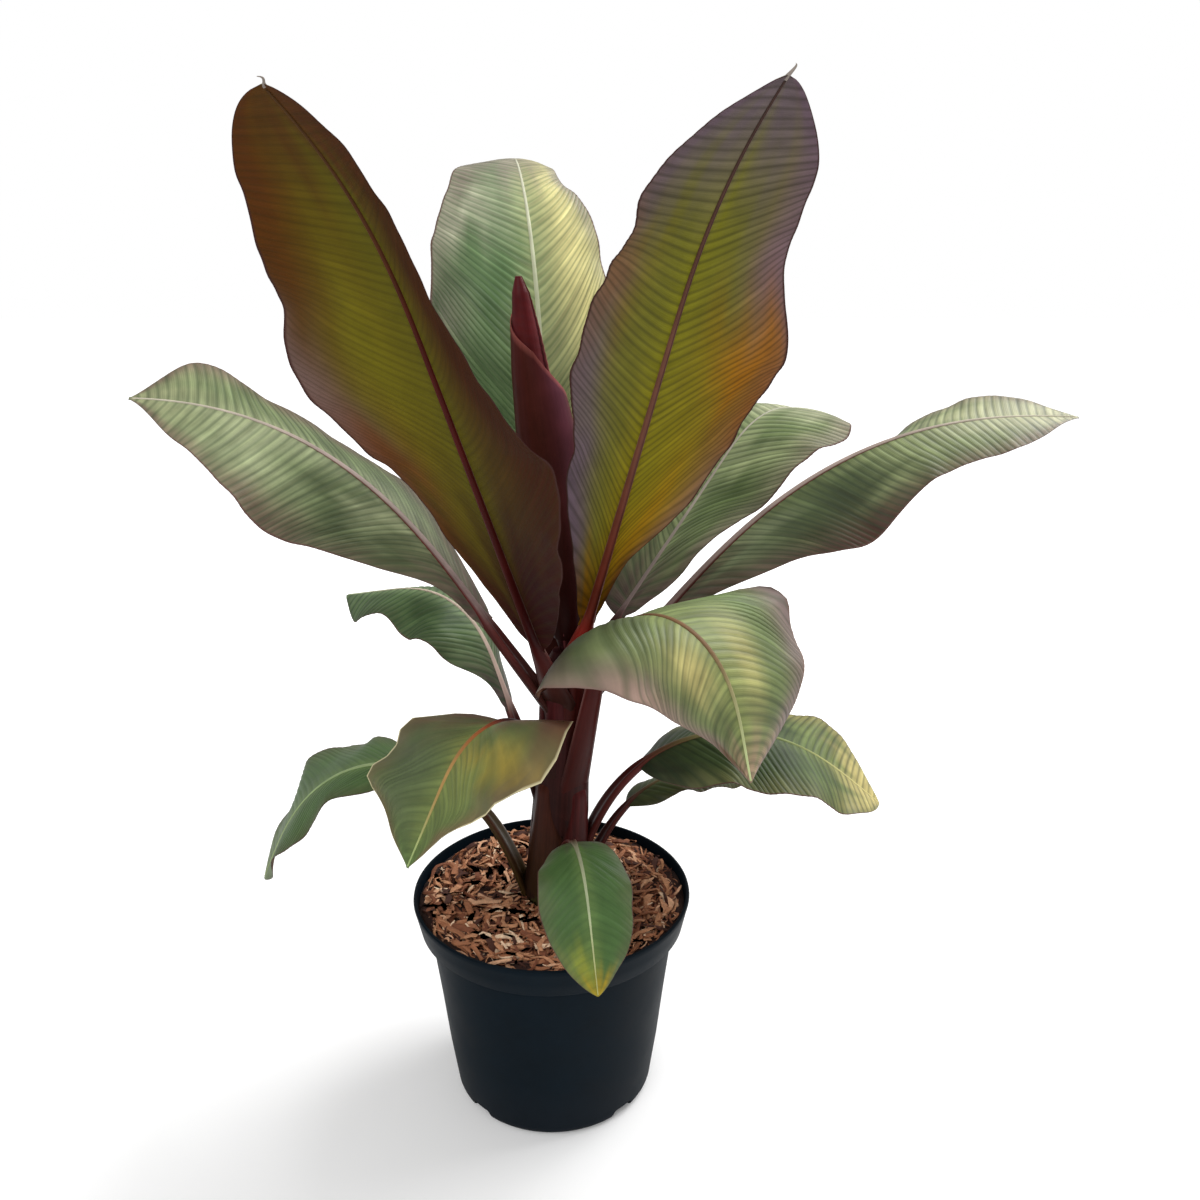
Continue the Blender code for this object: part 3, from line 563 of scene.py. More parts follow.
def vary_roughness(tree, shader, grey, least, most):
    """Roughness that follows a 0 to 1 pattern."""
    level = add_node(tree, "MapRange", {"Value": grey, "To Min": least, "To Max": most})
    tree.links.new(level.outputs[0], shader.inputs["Roughness"])


def add_bump(tree, shader, height, strength, distance):
    """Fine relief from a 0 to 1 pattern."""
    bump = add_node(tree, "Bump", {
        "Height": height, "Strength": strength, "Distance": distance})
    tree.links.new(bump.outputs[0], shader.inputs["Normal"])


def blade_material(name, paint):
    """Living banana leaf: a thin pleated skin with side veins, satin from its wax.

    The colours of its regions come with the blade; this adds the side veins, the strips
    between them that differ a little, mottling 18 mm across and the fine edge line.
    """
    material, tree, shader = new_material(name)
    parts = add_node(tree, "SeparateXYZ", {0: read_attribute(tree, "place", "Vector")})
    across, number = parts.outputs[1], parts.outputs[2]
    mottle = add_noise(tree, own_place(tree), 1.0 / MOTTLE_SIZE, 4.0, 0.6)
    out = calculate(tree, "ABSOLUTE", across)
    strips = add_node(tree, "CombineXYZ", {0: number, 1: out})
    band = add_noise(tree, strips.outputs[0], 0.9, 2.0)
    colour = shade_by(tree, read_attribute(tree, "tint", "Color"), mottle, 0.10)
    colour = shade_by(tree, colour, band, paint.banded)
    from_vein = calculate(tree, "PINGPONG", number, 0.5)
    vein = add_node(tree, "MapRange", {
        "Value": from_vein, "From Min": 0.02, "From Max": 0.30,
        "To Min": 1.0, "To Max": 0.0}, interpolation_type="SMOOTHSTEP").outputs[0]
    shown = calculate(tree, "MULTIPLY", vein, paint.veined)
    veined = mix_colours(tree, shown, colour, paint.vein)
    fine = calculate(tree, "MULTIPLY", number, FINE_LINES)
    ripple = calculate(tree, "PINGPONG", fine, 0.5)
    lined = shade_by(tree, veined, ripple, 0.04)
    edge = add_node(tree, "MapRange", {"Value": out, "From Min": 0.972, "From Max": 0.992})
    edged = mix_colours(tree, edge.outputs[0], lined, paint.margin)
    tree.links.new(edged, shader.inputs["Base Color"])
    vary_roughness(tree, shader, mottle, paint.gloss - 0.08, paint.gloss + 0.12)
    relief = calculate(tree, "SUBTRACT", ripple, vein)
    add_bump(tree, shader, calculate(tree, "ADD", relief, mottle), 0.35, 0.0004)
    shader.inputs["Specular IOR Level"].default_value = paint.shine
    return material


def stalk_material(name, streak, roughness):
    """Succulent banana tissue: smooth and waxy, with fibres that run along it."""
    material, tree, shader = new_material(name)
    fibres = add_noise(tree, read_attribute(tree, "place", "Vector"), 1.0, 5.0, 0.65)
    stains = add_noise(tree, own_place(tree), 1.0 / STAIN_SIZE, 3.0)
    colour = shade_by(tree, read_attribute(tree, "tint", "Color"), fibres, streak)
    colour = shade_by(tree, colour, stains, 0.18)
    tree.links.new(colour, shader.inputs["Base Color"])
    vary_roughness(tree, shader, stains, roughness - 0.1, roughness + 0.15)
    add_bump(tree, shader, fibres, 0.4, 0.0006)
    shader.inputs["Specular IOR Level"].default_value = 0.08
    return material


def pot_material(code):
    """Black polypropylene, injection moulded: matt from a fine spark-eroded mould, with
    faint scuffs and dried splashes low down."""
    material, tree, shader = new_material("moulded_black_polypropylene")
    where = own_place(tree)
    scuff = add_noise(tree, where, 1.0 / SCUFF_SIZE, 6.0, 0.7)
    grit = add_noise(tree, where, 1.0 / GRIT_SIZE, 1.0)
    parts = add_node(tree, "SeparateXYZ", {0: where})
    low = add_node(tree, "MapRange", {
        "Value": parts.outputs[2], "From Min": 0.0, "From Max": SPLASH_HEIGHT,
        "To Min": 0.55, "To Max": 0.0})
    dusty = calculate(tree, "MULTIPLY", low.outputs[0], scuff)
    plain = shade_by(tree, linear(code)[:3], scuff, 0.25)
    worn = mix_colours(tree, dusty, plain, "#22242a")
    tree.links.new(worn, shader.inputs["Base Color"])
    vary_roughness(tree, shader, scuff, 0.40, 0.62)
    add_bump(tree, shader, grit, 0.25, 0.0002)
    shader.inputs["Specular IOR Level"].default_value = 0.06
    return material


def bark_material(name, code, roughness=0.85):
    """Chipped pine bark: dry, fibrous and matt, each chip of one colour."""
    material, tree, shader = new_material(name)
    grain = add_noise(tree, own_place(tree), 1.0 / BARK_GRAIN, 6.0, 0.75)
    colour = shade_by(tree, linear(code)[:3], grain, 0.35)
    tree.links.new(colour, shader.inputs["Base Color"])
    add_bump(tree, shader, grain, 0.8, 0.0008)
    shader.inputs["Roughness"].default_value = roughness
    return material


def paper_material(stage):
    """White studio paper: matt, and glowing for the camera alone, more with distance."""
    material, tree, shader = new_material("pale_studio_paper")
    shader.inputs["Base Color"].default_value = (*stage.floor, 1.0)
    shader.inputs["Roughness"].default_value = 0.9
    shader.inputs["Emission Color"].default_value = (1.0, 1.0, 1.0, 1.0)
    away = add_node(tree, "VectorMath", {0: own_place(tree)}, operation="LENGTH")
    glow = add_node(tree, "MapRange", {
        "Value": away.outputs["Value"], "From Min": 0.2, "From Max": 1.6,
        "To Min": 0.16 * stage.paper_glow, "To Max": stage.paper_glow},
        interpolation_type="SMOOTHSTEP")
    rays = add_node(tree, "LightPath")
    seen = calculate(tree, "MULTIPLY", glow.outputs[0], rays.outputs["Is Camera Ray"])
    tree.links.new(seen, shader.inputs["Emission Strength"])
    return material


# ---- the rule that every leaf follows ------------------------------------------------

def stem_centre(height):
    """A point on the stem's leaning axis."""
    return np.array([STEM_OFFSET + math.tan(STEM_LEAN) * (height - LEAN_FROM), 0.0, height])


def stem_radius(height):
    """The stem's radius at a height."""
    return read_off(STEM_PROFILE, height)


def rib_frame(leaf, samples=241):
    """Points along the rib with its forward, left and upper directions."""
    t = np.linspace(0.0, 1.0, samples)
    start, end = leaf.bend
    climb = np.radians(blend((leaf.rise, leaf.settle), ease((t - start) / (end - start))))
    heading = np.radians(leaf.compass + leaf.swing * t)
    level = np.stack([np.cos(heading), np.sin(heading), 0.0 * t], axis=-1)
    up = np.array([0.0, 0.0, 1.0])
    forward = np.cos(climb)[:, None] * level + np.sin(climb)[:, None] * up
    left = np.cross(up, level)
    upper = np.cross(forward, left)
    step = (leaf.petiole + leaf.blade) / (samples - 1)
    foot = stem_centre(leaf.seat) + leaf.out * level[0]
    walk = np.cumsum((forward[1:] + forward[:-1]) / 2.0, axis=0) * step
    points = np.vstack([foot, foot + walk])
    return t, points, forward, left, upper


def along(frame_of_rib, share):
    """The rib's frame read at shares of its length."""
    t = frame_of_rib[0]
    return [
        np.stack([np.interp(share, t, part[:, axis]) for axis in range(3)], axis=-1)
        for part in frame_of_rib[1:]
    ]


def rib_half_width(leaf, u):
    """Half the width of the rib at share u of the blade."""
    return leaf.thick * blend((RIB_FOOT, RIB_TIP), np.clip(u, 0.0, 1.0) ** RIB_TAPER)


def through(widths, u):
    """A smooth curve through widths in mm, given at even steps from u = 0 to 1."""
    widths = np.array(widths) * MILLIMETRE
    slope = np.gradient(widths)
    place = np.clip(u, 0.0, 1.0) * (len(widths) - 1)
    cell = np.minimum(place.astype(int), len(widths) - 2)
    part = place - cell
    step = (widths[cell + 1] - widths[cell]) * ease(part)
    sway = slope[cell] * (1.0 - part) - slope[cell + 1] * part
    return widths[cell] + step + part * (1.0 - part) * sway


def half_width(leaf, u, side):
    """Width of one half of the blade, from its base at u = 0 to its tip at u = 1."""
    if leaf.left:
        outline = np.where(side > 0, through(leaf.left, u), through(leaf.right, u))
        inner = np.clip(1.0 - u / BASE_RUN, 0.0, 1.0)
        outer = np.clip((u - 1.0 + TIP_RUN) / TIP_RUN, 0.0, 1.0)
        outline = outline * np.sqrt((1.0 - inner ** 2) * (1.0 - outer ** 2))
    else:
        inner = np.clip((leaf.widest - u) / leaf.widest, 0.0, 1.0)
        outer = np.clip((u - leaf.widest) / (1.0 - leaf.widest), 0.0, 1.0)
        base = (1.0 - inner ** leaf.shoulder) ** (1.0 / leaf.shoulder)
        tip = (1.0 - outer ** leaf.taper) ** leaf.point
        outline = leaf.width / 2.0 * np.where(u < leaf.widest, base, tip)
        outline = outline * (1.0 + leaf.uneven * side)
    return np.maximum(outline, RIB_MARGIN * rib_half_width(leaf, u))


def blade_surface(leaf, u, v):
    """Points of the blade for grids of u along it and v across it, from -1 to 1."""
    rib = rib_frame(leaf)
    total = leaf.petiole + leaf.blade
    points, forward, left, upper = along(rib, (leaf.petiole + leaf.blade * u) / total)
    share = ease((u - leaf.hold) / (1.0 - leaf.hold))
    turn = np.radians(blend(leaf.roll, share))[..., None]
    across = left * np.cos(turn) + upper * np.sin(turn)
    lift = upper * np.cos(turn) - left * np.sin(turn)
    reach, side = np.abs(v), np.sign(v)
    width = half_width(leaf, u, side)
    steps = (np.arange(CURL_STEPS) + 0.5) / CURL_STEPS
    left_fold = blend(leaf.left_fold or leaf.fold, share)
    left_curl = blend(leaf.left_curl or leaf.curl, share)
    fold = np.where(side > 0, left_fold, blend(leaf.fold, share))
    curl = np.where(side > 0, left_curl, blend(leaf.curl, share))
    bent = np.radians(fold[..., None] + (curl * reach)[..., None] * steps)
    sideways = np.cos(bent).mean(axis=-1) * reach * width
    upwards = np.sin(bent).mean(axis=-1) * reach * width
    ripple = leaf.wave * reach ** WAVE_REACH * width / (leaf.width / 2.0)
    start = np.where(side > 0, 0.0, EDGE_LAG)
    upwards = upwards + ripple * np.sin(2.0 * math.pi * leaf.waves * u + start)
    back = leaf.lobe * (reach * width * 2.0 / leaf.width) ** 2 * np.exp(-((u / LOBE_RUN) ** 2))
    return (points + (side * sideways)[..., None] * across + upwards[..., None] * lift
            - back[..., None] * forward)


# ---- meshes ----------------------------------------------------------------------------

CREASE = math.radians(50)    # edges sharper than this stay sharp


def add_piece(name, points, faces, materials, slots=None, place=None, tint=None):
    """A smooth mesh object, with its faces' materials and its points' place and tint."""
    mesh = bpy.data.meshes.new(name)
    mesh.from_pydata(np.asarray(points).tolist(), [], faces)
    for material in materials:
        mesh.materials.append(material)
    if slots is not None:
        mesh.polygons.foreach_set("material_index", np.asarray(slots, np.int32))
    for label, kind, values, read in (("place", "FLOAT_VECTOR", place, "vector"),
                                      ("tint", "FLOAT_COLOR", tint, "color")):
        if values is not None:
            made = mesh.attributes.new(label, kind, "POINT")
            made.data.foreach_set(read, np.asarray(values, np.float32).ravel())
    mesh.shade_smooth()
    mesh.set_sharp_from_angle(angle=CREASE)
    piece = bpy.data.objects.new(name, mesh)
    bpy.context.collection.objects.link(piece)
    return piece


def outward(piece):
    """Turns the faces of a closed piece to point out of it."""
    shape = bmesh.new()
    shape.from_mesh(piece.data)
    bmesh.ops.recalc_face_normals(shape, faces=shape.faces)
    shape.to_mesh(piece.data)
    shape.free()


def settle(piece, slot, *nodes):
    """Fixes a finished piece to the plant in place of its CAD nodes."""
    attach(piece, "root")
    if nodes:
        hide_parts(*nodes)


def tube_faces(rows, count):
    """Faces of a tube through rows rings of count points, with flat ends."""
    faces = [
        (row * count + side, row * count + (side + 1) % count,
         (row + 1) * count + (side + 1) % count, (row + 1) * count + side)
        for row in range(rows - 1)
        for side in range(count)
    ]
    faces.append(tuple(range(count - 1, -1, -1)))
    faces.append(tuple((rows - 1) * count + side for side in range(count)))
    return faces


def sheet_faces(rows, columns):
    """Faces of a thin closed sheet: its top grid, its bottom grid, then its edges."""
    below = rows * columns
    row, column = np.meshgrid(np.arange(rows - 1), np.arange(columns - 1), indexing="ij")
    near = (row * columns + column).ravel()
    far = near + columns
    top = np.stack([near, far, far + 1, near + 1], axis=1)
    bottom = below + top[:, [0, 3, 2, 1]]
    walls = []
    for at in range(rows - 1):
        for edge, flip in ((0, False), (columns - 1, True)):
            one = at * columns + edge
            wall = (one, below + one, below + one + columns, one + columns)
            walls.append(wall[::-1] if flip else wall)
    for at in range(columns - 1):
        for edge, flip in ((0, False), (rows - 1, True)):
            one = edge * columns + at
            wall = (one, one + 1, below + one + 1, below + one)
            walls.append(wall[::-1] if flip else wall)
    return top.tolist() + bottom.tolist() + walls, len(top)


def add_tube(name, rings, material, places, tints):
    """A closed limb through rings of points."""
    piece = add_piece(name, np.concatenate(rings), tube_faces(len(rings), len(rings[0])),
                      [material], None, np.concatenate(places), np.concatenate(tints))
    outward(piece)
    return piece


def add_sheet(name, over, under, materials, place, tints):
    """A closed sheet between two grids of points: its upper side has the first material
    and the first tint, the rest of it the last."""
    faces, top = sheet_faces(*over.shape[:2])
    slots = np.full(len(faces), len(materials) - 1, np.int32)
    slots[:top] = 0
    flat = place.reshape(-1, 3)
    piece = add_piece(
        name, np.concatenate([over.reshape(-1, 3), under.reshape(-1, 3)]), faces, materials,
        slots, np.concatenate([flat, flat]),
        np.concatenate([tint.reshape(-1, 4) for tint in (tints[0], tints[-1])]))
    outward(piece)
    return piece


def sheet_grid(rows, columns):
    """Shares from 0 to 1 up a sheet and from -1 to 1 across it."""
    return np.linspace(0.0, 1.0, rows)[:, None], np.linspace(-1.0, 1.0, columns)[None, :]


def round_about(angle):
    """Level directions at the angles."""
    return np.stack([np.cos(angle), np.sin(angle), 0.0 * angle], axis=-1)


def fibre_place(distance, angle, lengthwise, crosswise):
    """Where the fibre pattern is read: a few steps along a limb, more of them round it."""
    return np.stack([
        distance * lengthwise + 0.0 * angle, np.cos(angle) * crosswise,
        np.sin(angle) * crosswise], axis=-1)


# ---- leaves ----------------------------------------------------------------------------

FEWEST_VEINS = 10
LANE_CROWDING = 0.85         # under 1, the lanes are narrower towards the edge
VEIN_LEAN = 0.8              # how far a vein leans, against its slant
VEIN_BOW = 1.2               # how late on its way out it leans over
LEAN_IN = 0.16               # share of a blade over which its veins come to lean
LEAN_OUT = 1.3               # how late they straighten towards the tip
PLEAT_SHAPE = (0.0, 0.75, 1.0, 0.75)     # the skin's rise from one side vein to the next
PLEATS_RISE = 0.18           # share of a half blade over which the pleats rise
PLEATS_FADE = (0.75, 0.25)   # and where they begin to fade, and over how much of it
EDGE_THINS = (0.8, 0.2)      # the same of the blade's thickness
EDGE_RIPPLES = ((5.3, 1.0), (9.7, 0.6), (17.0, 0.3))     # waves in RIPPLE_RUN, height
RIPPLE_RUN = 0.5
RIPPLE_REACH = 2.5           # how late the ripples grow out from the rib


def vein_grid(leaf, spacing, slant):
    """Rows that follow the side veins: where each point lies along and across.

    A vein leaves the rib nearly square and leans more and more towards the tip.
    """
    count = max(FEWEST_VEINS, round(leaf.blade / spacing)) * VEIN_ROWS
    start = np.linspace(0.0, 1.0, count + 1)[:, None]
    lane = np.linspace(0.0, 1.0, LANES + 1) ** LANE_CROWDING
    v = np.concatenate([-lane[:0:-1], lane])[None, :]
    lean = VEIN_LEAN * leaf.width / 2.0 / math.tan(math.radians(slant)) / leaf.blade
    swell = ease(start / LEAN_IN) * np.minimum(1.0, LEAN_OUT * (1.0 - start))
    u = start + lean * swell * np.abs(v) ** VEIN_BOW
    number = start * (count / VEIN_ROWS) + 0.0 * v
    return np.clip(u, 0.0, 1.0), v + 0.0 * start, number


def grid_normals(surface):
    """The direction square to a grid of points at each of them."""
    normal = np.cross(np.gradient(surface, axis=0), np.gradient(surface, axis=1))
    length = np.linalg.norm(normal, axis=2, keepdims=True)
    return normal / np.maximum(length, 1e-12)


def blade_relief(leaf, skin, plant, grid, turns):
    """How far the pleats and the ripples lift each point of a blade."""
    u, v, number = grid
    reach = np.abs(v)
    pleat = np.array(PLEAT_SHAPE)[np.round((number % 1.0) * VEIN_ROWS).astype(int) % VEIN_ROWS]
    open_part = ease(reach / PLEATS_RISE)
    open_part = open_part * (1.0 - 0.5 * ease((reach - PLEATS_FADE[0]) / PLEATS_FADE[1]))
    size = half_width(leaf, u, np.sign(v)) / (leaf.width / 2.0)
    relief = plant.pleat_height * skin.pleat * pleat * open_part * size
    side = np.where(v > 0, 0, len(EDGE_RIPPLES))
    for place, (waves, height) in enumerate(EDGE_RIPPLES):
        wave = np.sin(2.0 * math.pi * waves * leaf.blade / RIPPLE_RUN * u + turns[side + place])
        relief = relief + plant.edge_ripple * height * size * reach ** RIPPLE_REACH * wave
    return relief


def build_blade(leaf, skin, plant, seed):
    """One thin pleated blade in place of its solid sheet."""
    grid = vein_grid(leaf, plant.vein_spacing, skin.slant + plant.vein_turn)
    u, v, _ = grid
    surface = blade_surface(leaf, u, v)
    rng = np.random.default_rng(seed)
    turns = rng.uniform(0.0, 2.0 * math.pi, 2 * len(EDGE_RIPPLES))
    relief = blade_relief(leaf, skin, plant, grid, turns)
    surface = surface + relief[..., None] * grid_normals(surface)
    normal = grid_normals(surface)
    thin = ease((np.abs(v) - EDGE_THINS[0]) / EDGE_THINS[1])
    half = plant.leaf_thickness * (0.5 - 0.25 * thin)[..., None]
    materials = [
        blade_material("banana_leaf_upper_" + leaf.name, skin.upper),
        blade_material("banana_leaf_under_" + leaf.name, skin.under)]
    tints = [paint_blade(paint, u, v, turns[0]) for paint in (skin.upper, skin.under)]
    piece = add_sheet("leaf_" + leaf.name, surface + half * normal, surface - half * normal,
                      materials, np.stack(grid, axis=-1), tints)
    nodes = ["blade_" + leaf.name]
    if leaf.split:
        nodes = [nodes[0] + "_base", nodes[0] + "_tip"]
    settle(piece, "leaf", *nodes)


PETIOLE_ROWS = 22
RIB_ROWS = 74
STALK_SIDES = 24
RIB_END = 0.992              # share of the blade at which the rib ends
FLARE_CURVE = 1.2            # how soon the petiole has narrowed on its way out
GROOVE_DEPTH = 0.42          # of the petiole's depth
GROOVE_REACH = 0.45          # of its half-width
PETIOLE_RISE = 0.50          # height of its edges, of its depth
BELLY = 1.05                 # the same of its underside
TURN_BEFORE = 0.012          # the petiole begins to turn into the rib this far before
TURN_RUN = 0.035             # the blade, and has done so within this length
RIB_SLIMMING = 0.35          # how much narrower the limb gets as it does
LOW_CREST = 0.0009           # height of the rib's crest, and how much of its half-width
CREST_SHARE = 0.16           # is added to that
RIM_BAND = (0.85, 0.16)      # middle and reach of the petiole's edges, of its half-width
STRIPE_REACH = 0.30
STALK_GRAIN = (14.0, 3.0)    # fineness of the fibre pattern along a limb and round it


def stalk_section(angle, half, depth, into_rib, crest):
    """The limb's outline: a grooved petiole that turns into a rib with a low crest."""
    rise = np.sin(angle)
    groove = GROOVE_DEPTH * depth * bell(np.cos(angle), 0.0, GROOVE_REACH)
    grooved = PETIOLE_RISE * depth * rise - np.where(rise > 0, groove, 0.0)
    ridged = crest * rise
    upper = np.where(rise > 0, blend((grooved, ridged), into_rib), 0.0)
    lower = np.where(rise <= 0, BELLY * depth * rise, 0.0)
    return half * np.cos(angle), upper + lower


def stalk_tint(skin, angle, along_petiole, along_rib, into_rib):
    """Colours round one ring of the limb, from the petiole's to the rib's."""
    sides = len(angle)
    stalk = towards(all_over(skin.petiole[0], (sides,)), skin.petiole[1],
                    np.full(sides, along_petiole))
    edge = bell(np.abs(np.cos(angle)), *RIM_BAND) * (np.sin(angle) > -0.2)
    stalk = towards(stalk, skin.rim, 0.7 * edge * along_petiole)
    on_top = ease((np.sin(angle) + 0.15) / 0.3)[:, None]
    share = np.full(sides, along_rib)
    ridge = paint_line(skin.rib_top, share) * on_top
    ridge = ridge + paint_line(skin.rib_under, share) * (1.0 - on_top)
    if skin.stripe:
        low = bell(np.cos(angle), 0.0, STRIPE_REACH) * (np.sin(angle) < 0)
        ridge = towards(ridge, skin.stripe, 0.9 * low)
    return stalk + (ridge - stalk) * into_rib


def build_stalk(leaf, skin, material):
    """The petiole and the rib: one limb from inside the stem to the blade's tip."""
    length = np.concatenate([
        np.linspace(0.0, leaf.petiole, PETIOLE_ROWS)[:-1],
        leaf.petiole + leaf.blade * np.linspace(0.0, RIB_END, RIB_ROWS)])
    total = leaf.petiole + leaf.blade
    points, _, left, upper = along(rib_frame(leaf), length / total)
    u = (length - leaf.petiole) / leaf.blade
    full = leaf.thick * RIB_FOOT
    share = np.clip(length / leaf.petiole, 0.0, 1.0)
    flared = full * (1.0 + skin.flare * (1.0 - share) ** FLARE_CURVE)
    half = np.where(u > 0, rib_half_width(leaf, u), flared)
    turn_to = blend(leaf.roll, ease((np.maximum(u, 0.0) - leaf.hold) / (1.0 - leaf.hold)))
    turn = np.radians(np.where(u > 0, turn_to, leaf.roll[0] * share))
    angle = 2.0 * math.pi * np.arange(STALK_SIDES) / STALK_SIDES
    inside = PETIOLE_ROOT * (points[0] - stem_centre(leaf.seat))
    root = max(leaf.seat - ROOT_DROP, min(leaf.seat - PETIOLE_DROP, STEM_FOOT))
    rows = [(stem_centre(root) + inside, 0, full)]
    rows += [(points[row], row, half[row]) for row in range(len(length))]
    rings, places, tints = [], [], []
    for centre, row, wide in rows:
        into = float(ease((length[row] - leaf.petiole + TURN_BEFORE) / TURN_RUN))
        narrow = wide * (1.0 - RIB_SLIMMING * into)
        crest = LOW_CREST + CREST_SHARE * wide
        across, above = stalk_section(angle, narrow, min(wide, full), into, crest)
        sideways = left[row] * math.cos(turn[row]) + upper[row] * math.sin(turn[row])
        upwards = upper[row] * math.cos(turn[row]) - left[row] * math.sin(turn[row])
        rings.append(centre + across[:, None] * sideways + above[:, None] * upwards)
        places.append(fibre_place(length[row], angle, *STALK_GRAIN))
        tints.append(stalk_tint(skin, angle, float(share[row]), max(0.0, float(u[row])), into))
    piece = add_tube("rib_" + leaf.name, rings, material, places, tints)
    settle(piece, "petiole", "petiole_" + leaf.name)


THREAD_ROWS = 14
THREAD_SIDES = 8
THREAD_RADII = (0.0016, 0.0003)      # at its foot and its end
THREAD_LAP = 0.25            # share of it that lies back along the rib


def build_thread(leaf, material):
    """The dry thread that a blade's tip ends in."""
    tip, forward, left, upper = [part[-1] for part in rib_frame(leaf)[1:]]
    angle = 2.0 * math.pi * np.arange(THREAD_SIDES) / THREAD_SIDES
    rings = []
    for row in range(THREAD_ROWS):
        share = row / (THREAD_ROWS - 1)
        bow = leaf.tail * 0.5 * math.sin(3.0 * share) * share
        centre = (tip + forward * (leaf.tail * (share - THREAD_LAP)) + left * bow
                  + upper * bow * 0.5)
        rings.append(centre + blend(THREAD_RADII, share) * (
            np.cos(angle)[:, None] * left + np.sin(angle)[:, None] * upper))
    places = [np.zeros((THREAD_SIDES, 3))] * THREAD_ROWS
    tints = [all_over(DRY_THREAD, (THREAD_SIDES,))] * THREAD_ROWS
    piece = add_tube("thread_" + leaf.name, rings, material, places, tints)
    settle(piece, "leaf")


# ---- stem ------------------------------------------------------------------------------

STEM_ROWS = 84
STEM_SIDES = 96
STEM_SEED = 5
STEM_RIDGE = 0.00022         # height of the ridges along it
STEM_SWELL = 0.0012          # how much wider it is at its foot
SWELL_RUN = 0.012
STEM_GRAIN = (9.0, 9.0)      # fineness of the fibre pattern up the stem and round it
STEM_TINTS = ("#21170e", "#281310", "#331113")
# a painted shadow just under each sheath's lapped edge, and a paler line along the edge itself
LAP_SHADE_AND_LIP_BANDS = (("#1d120e", 1.0, 0.05, 0.75), ("#8a5a44", 0.03, 0.025, 0.5))


def build_stem(material):
    """The false stem: sheaths rolled round each other, with their lapped edges."""
    rng = np.random.default_rng(STEM_SEED)
    ridges = rng.uniform(-1.0, 1.0, STEM_SIDES)
    ridges = STEM_RIDGE * (ridges + np.roll(ridges, 1))
    around = np.arange(STEM_SIDES) / STEM_SIDES
    angle = 2.0 * math.pi * around
    rings, places, tints = [], [], []
    for height in np.linspace(STEM_FOOT, STEM_TOP, STEM_ROWS):
        turn = SHEATH_TURN * (height - STEM_FOOT) / (STEM_TOP - STEM_FOOT)
        lap = (2.0 * around + turn) % 1.0
        radius = stem_radius(height) - SHEATH_STEP * lap + ridges
        radius = radius + STEM_SWELL * bell(height, STEM_FOOT, SWELL_RUN)
        share = np.full(STEM_SIDES, (height - STEM_FOOT) / (STEM_TOP - STEM_FOOT))
        rings.append(stem_centre(height) + radius[:, None] * round_about(angle))
        places.append(fibre_place(height, angle, *STEM_GRAIN))
        # painted shadow under each lapped edge
        tints.append(add_bands(paint_line(STEM_TINTS, share), lap, LAP_SHADE_AND_LIP_BANDS))
    piece = add_tube("stem_sheaths", rings, material, places, tints)
    settle(piece, "stem", "stem")


SHEATH_ROWS = 40
SHEATH_COLUMNS = 25
SHEATH_REACH = 0.13          # how far below its leaf's seat a sheath begins
SHEATH_OVER = 0.010          # how far above the seat it ends
SHEATH_FROM_FOOT = 0.004     # how near the stem's foot and its top a sheath may come
SHEATH_FROM_TOP = 0.002
SHEATH_CLASP = math.radians(105)     # how far round the stem each side of its foot goes
SHEATH_SKEW = 0.25           # how far its foot is turned, in radians
SHEATH_OVERLAP = 1.25        # its top's width against the petiole's
SHEATH_SKIN = 0.0012         # how deep its underside lies in the stem
SHEATH_TAPER = 1.3           # how soon it has narrowed on its way up
SHEATH_STAND = 0.0005        # how far its edges stand out from the stem
SHEATH_LIFT = 0.0009         # how much farther its middle does, low down
SHEATH_BULGE = 0.0026        # and how much that gains towards the top
SHEATH_FOOT_RUN = 0.12       # share of its height over which it rises from the stem
SHEATH_FLUSH = (0.90, 0.10)  # from here, within that much of its height, it sinks in again
SHEATH_SHADE = np.array([0.60, 0.60, 0.60, 1.0])     # painted shade: the colours below made darker, as the sheaths lie in the shade of the leaves
SHEATH_EDGE = "#20120e"
SHEATH_COLOURS = {           # foot and top of each leaf's sheath; the lowest have none
    "small_front": ("#3a3018", "#5f6a3c"),
    "low_right": ("#37241a", "#561f1a"),
    "arching_right": ("#3a2219", "#5c1f1f"),
    "arching_left": ("#3c2a18", "#5a2a1e"),
    "short_left": ("#36241a", "#4d2220"),
    "mid_back": ("#35231a", "#4a201e"),
    "long_left": ("#3c1d1a", "#551f20"),
    "long_right": ("#401d1a", "#5a2022"),
    "tall_left": ("#43201c", "#4c1b1d"),
    "tall_back": ("#401f1b", "#521f20"),
    "tall_right": ("#2c120e", "#521a15"),
    "upright_right": ("#4c1d1c", "#6a2622"),
}


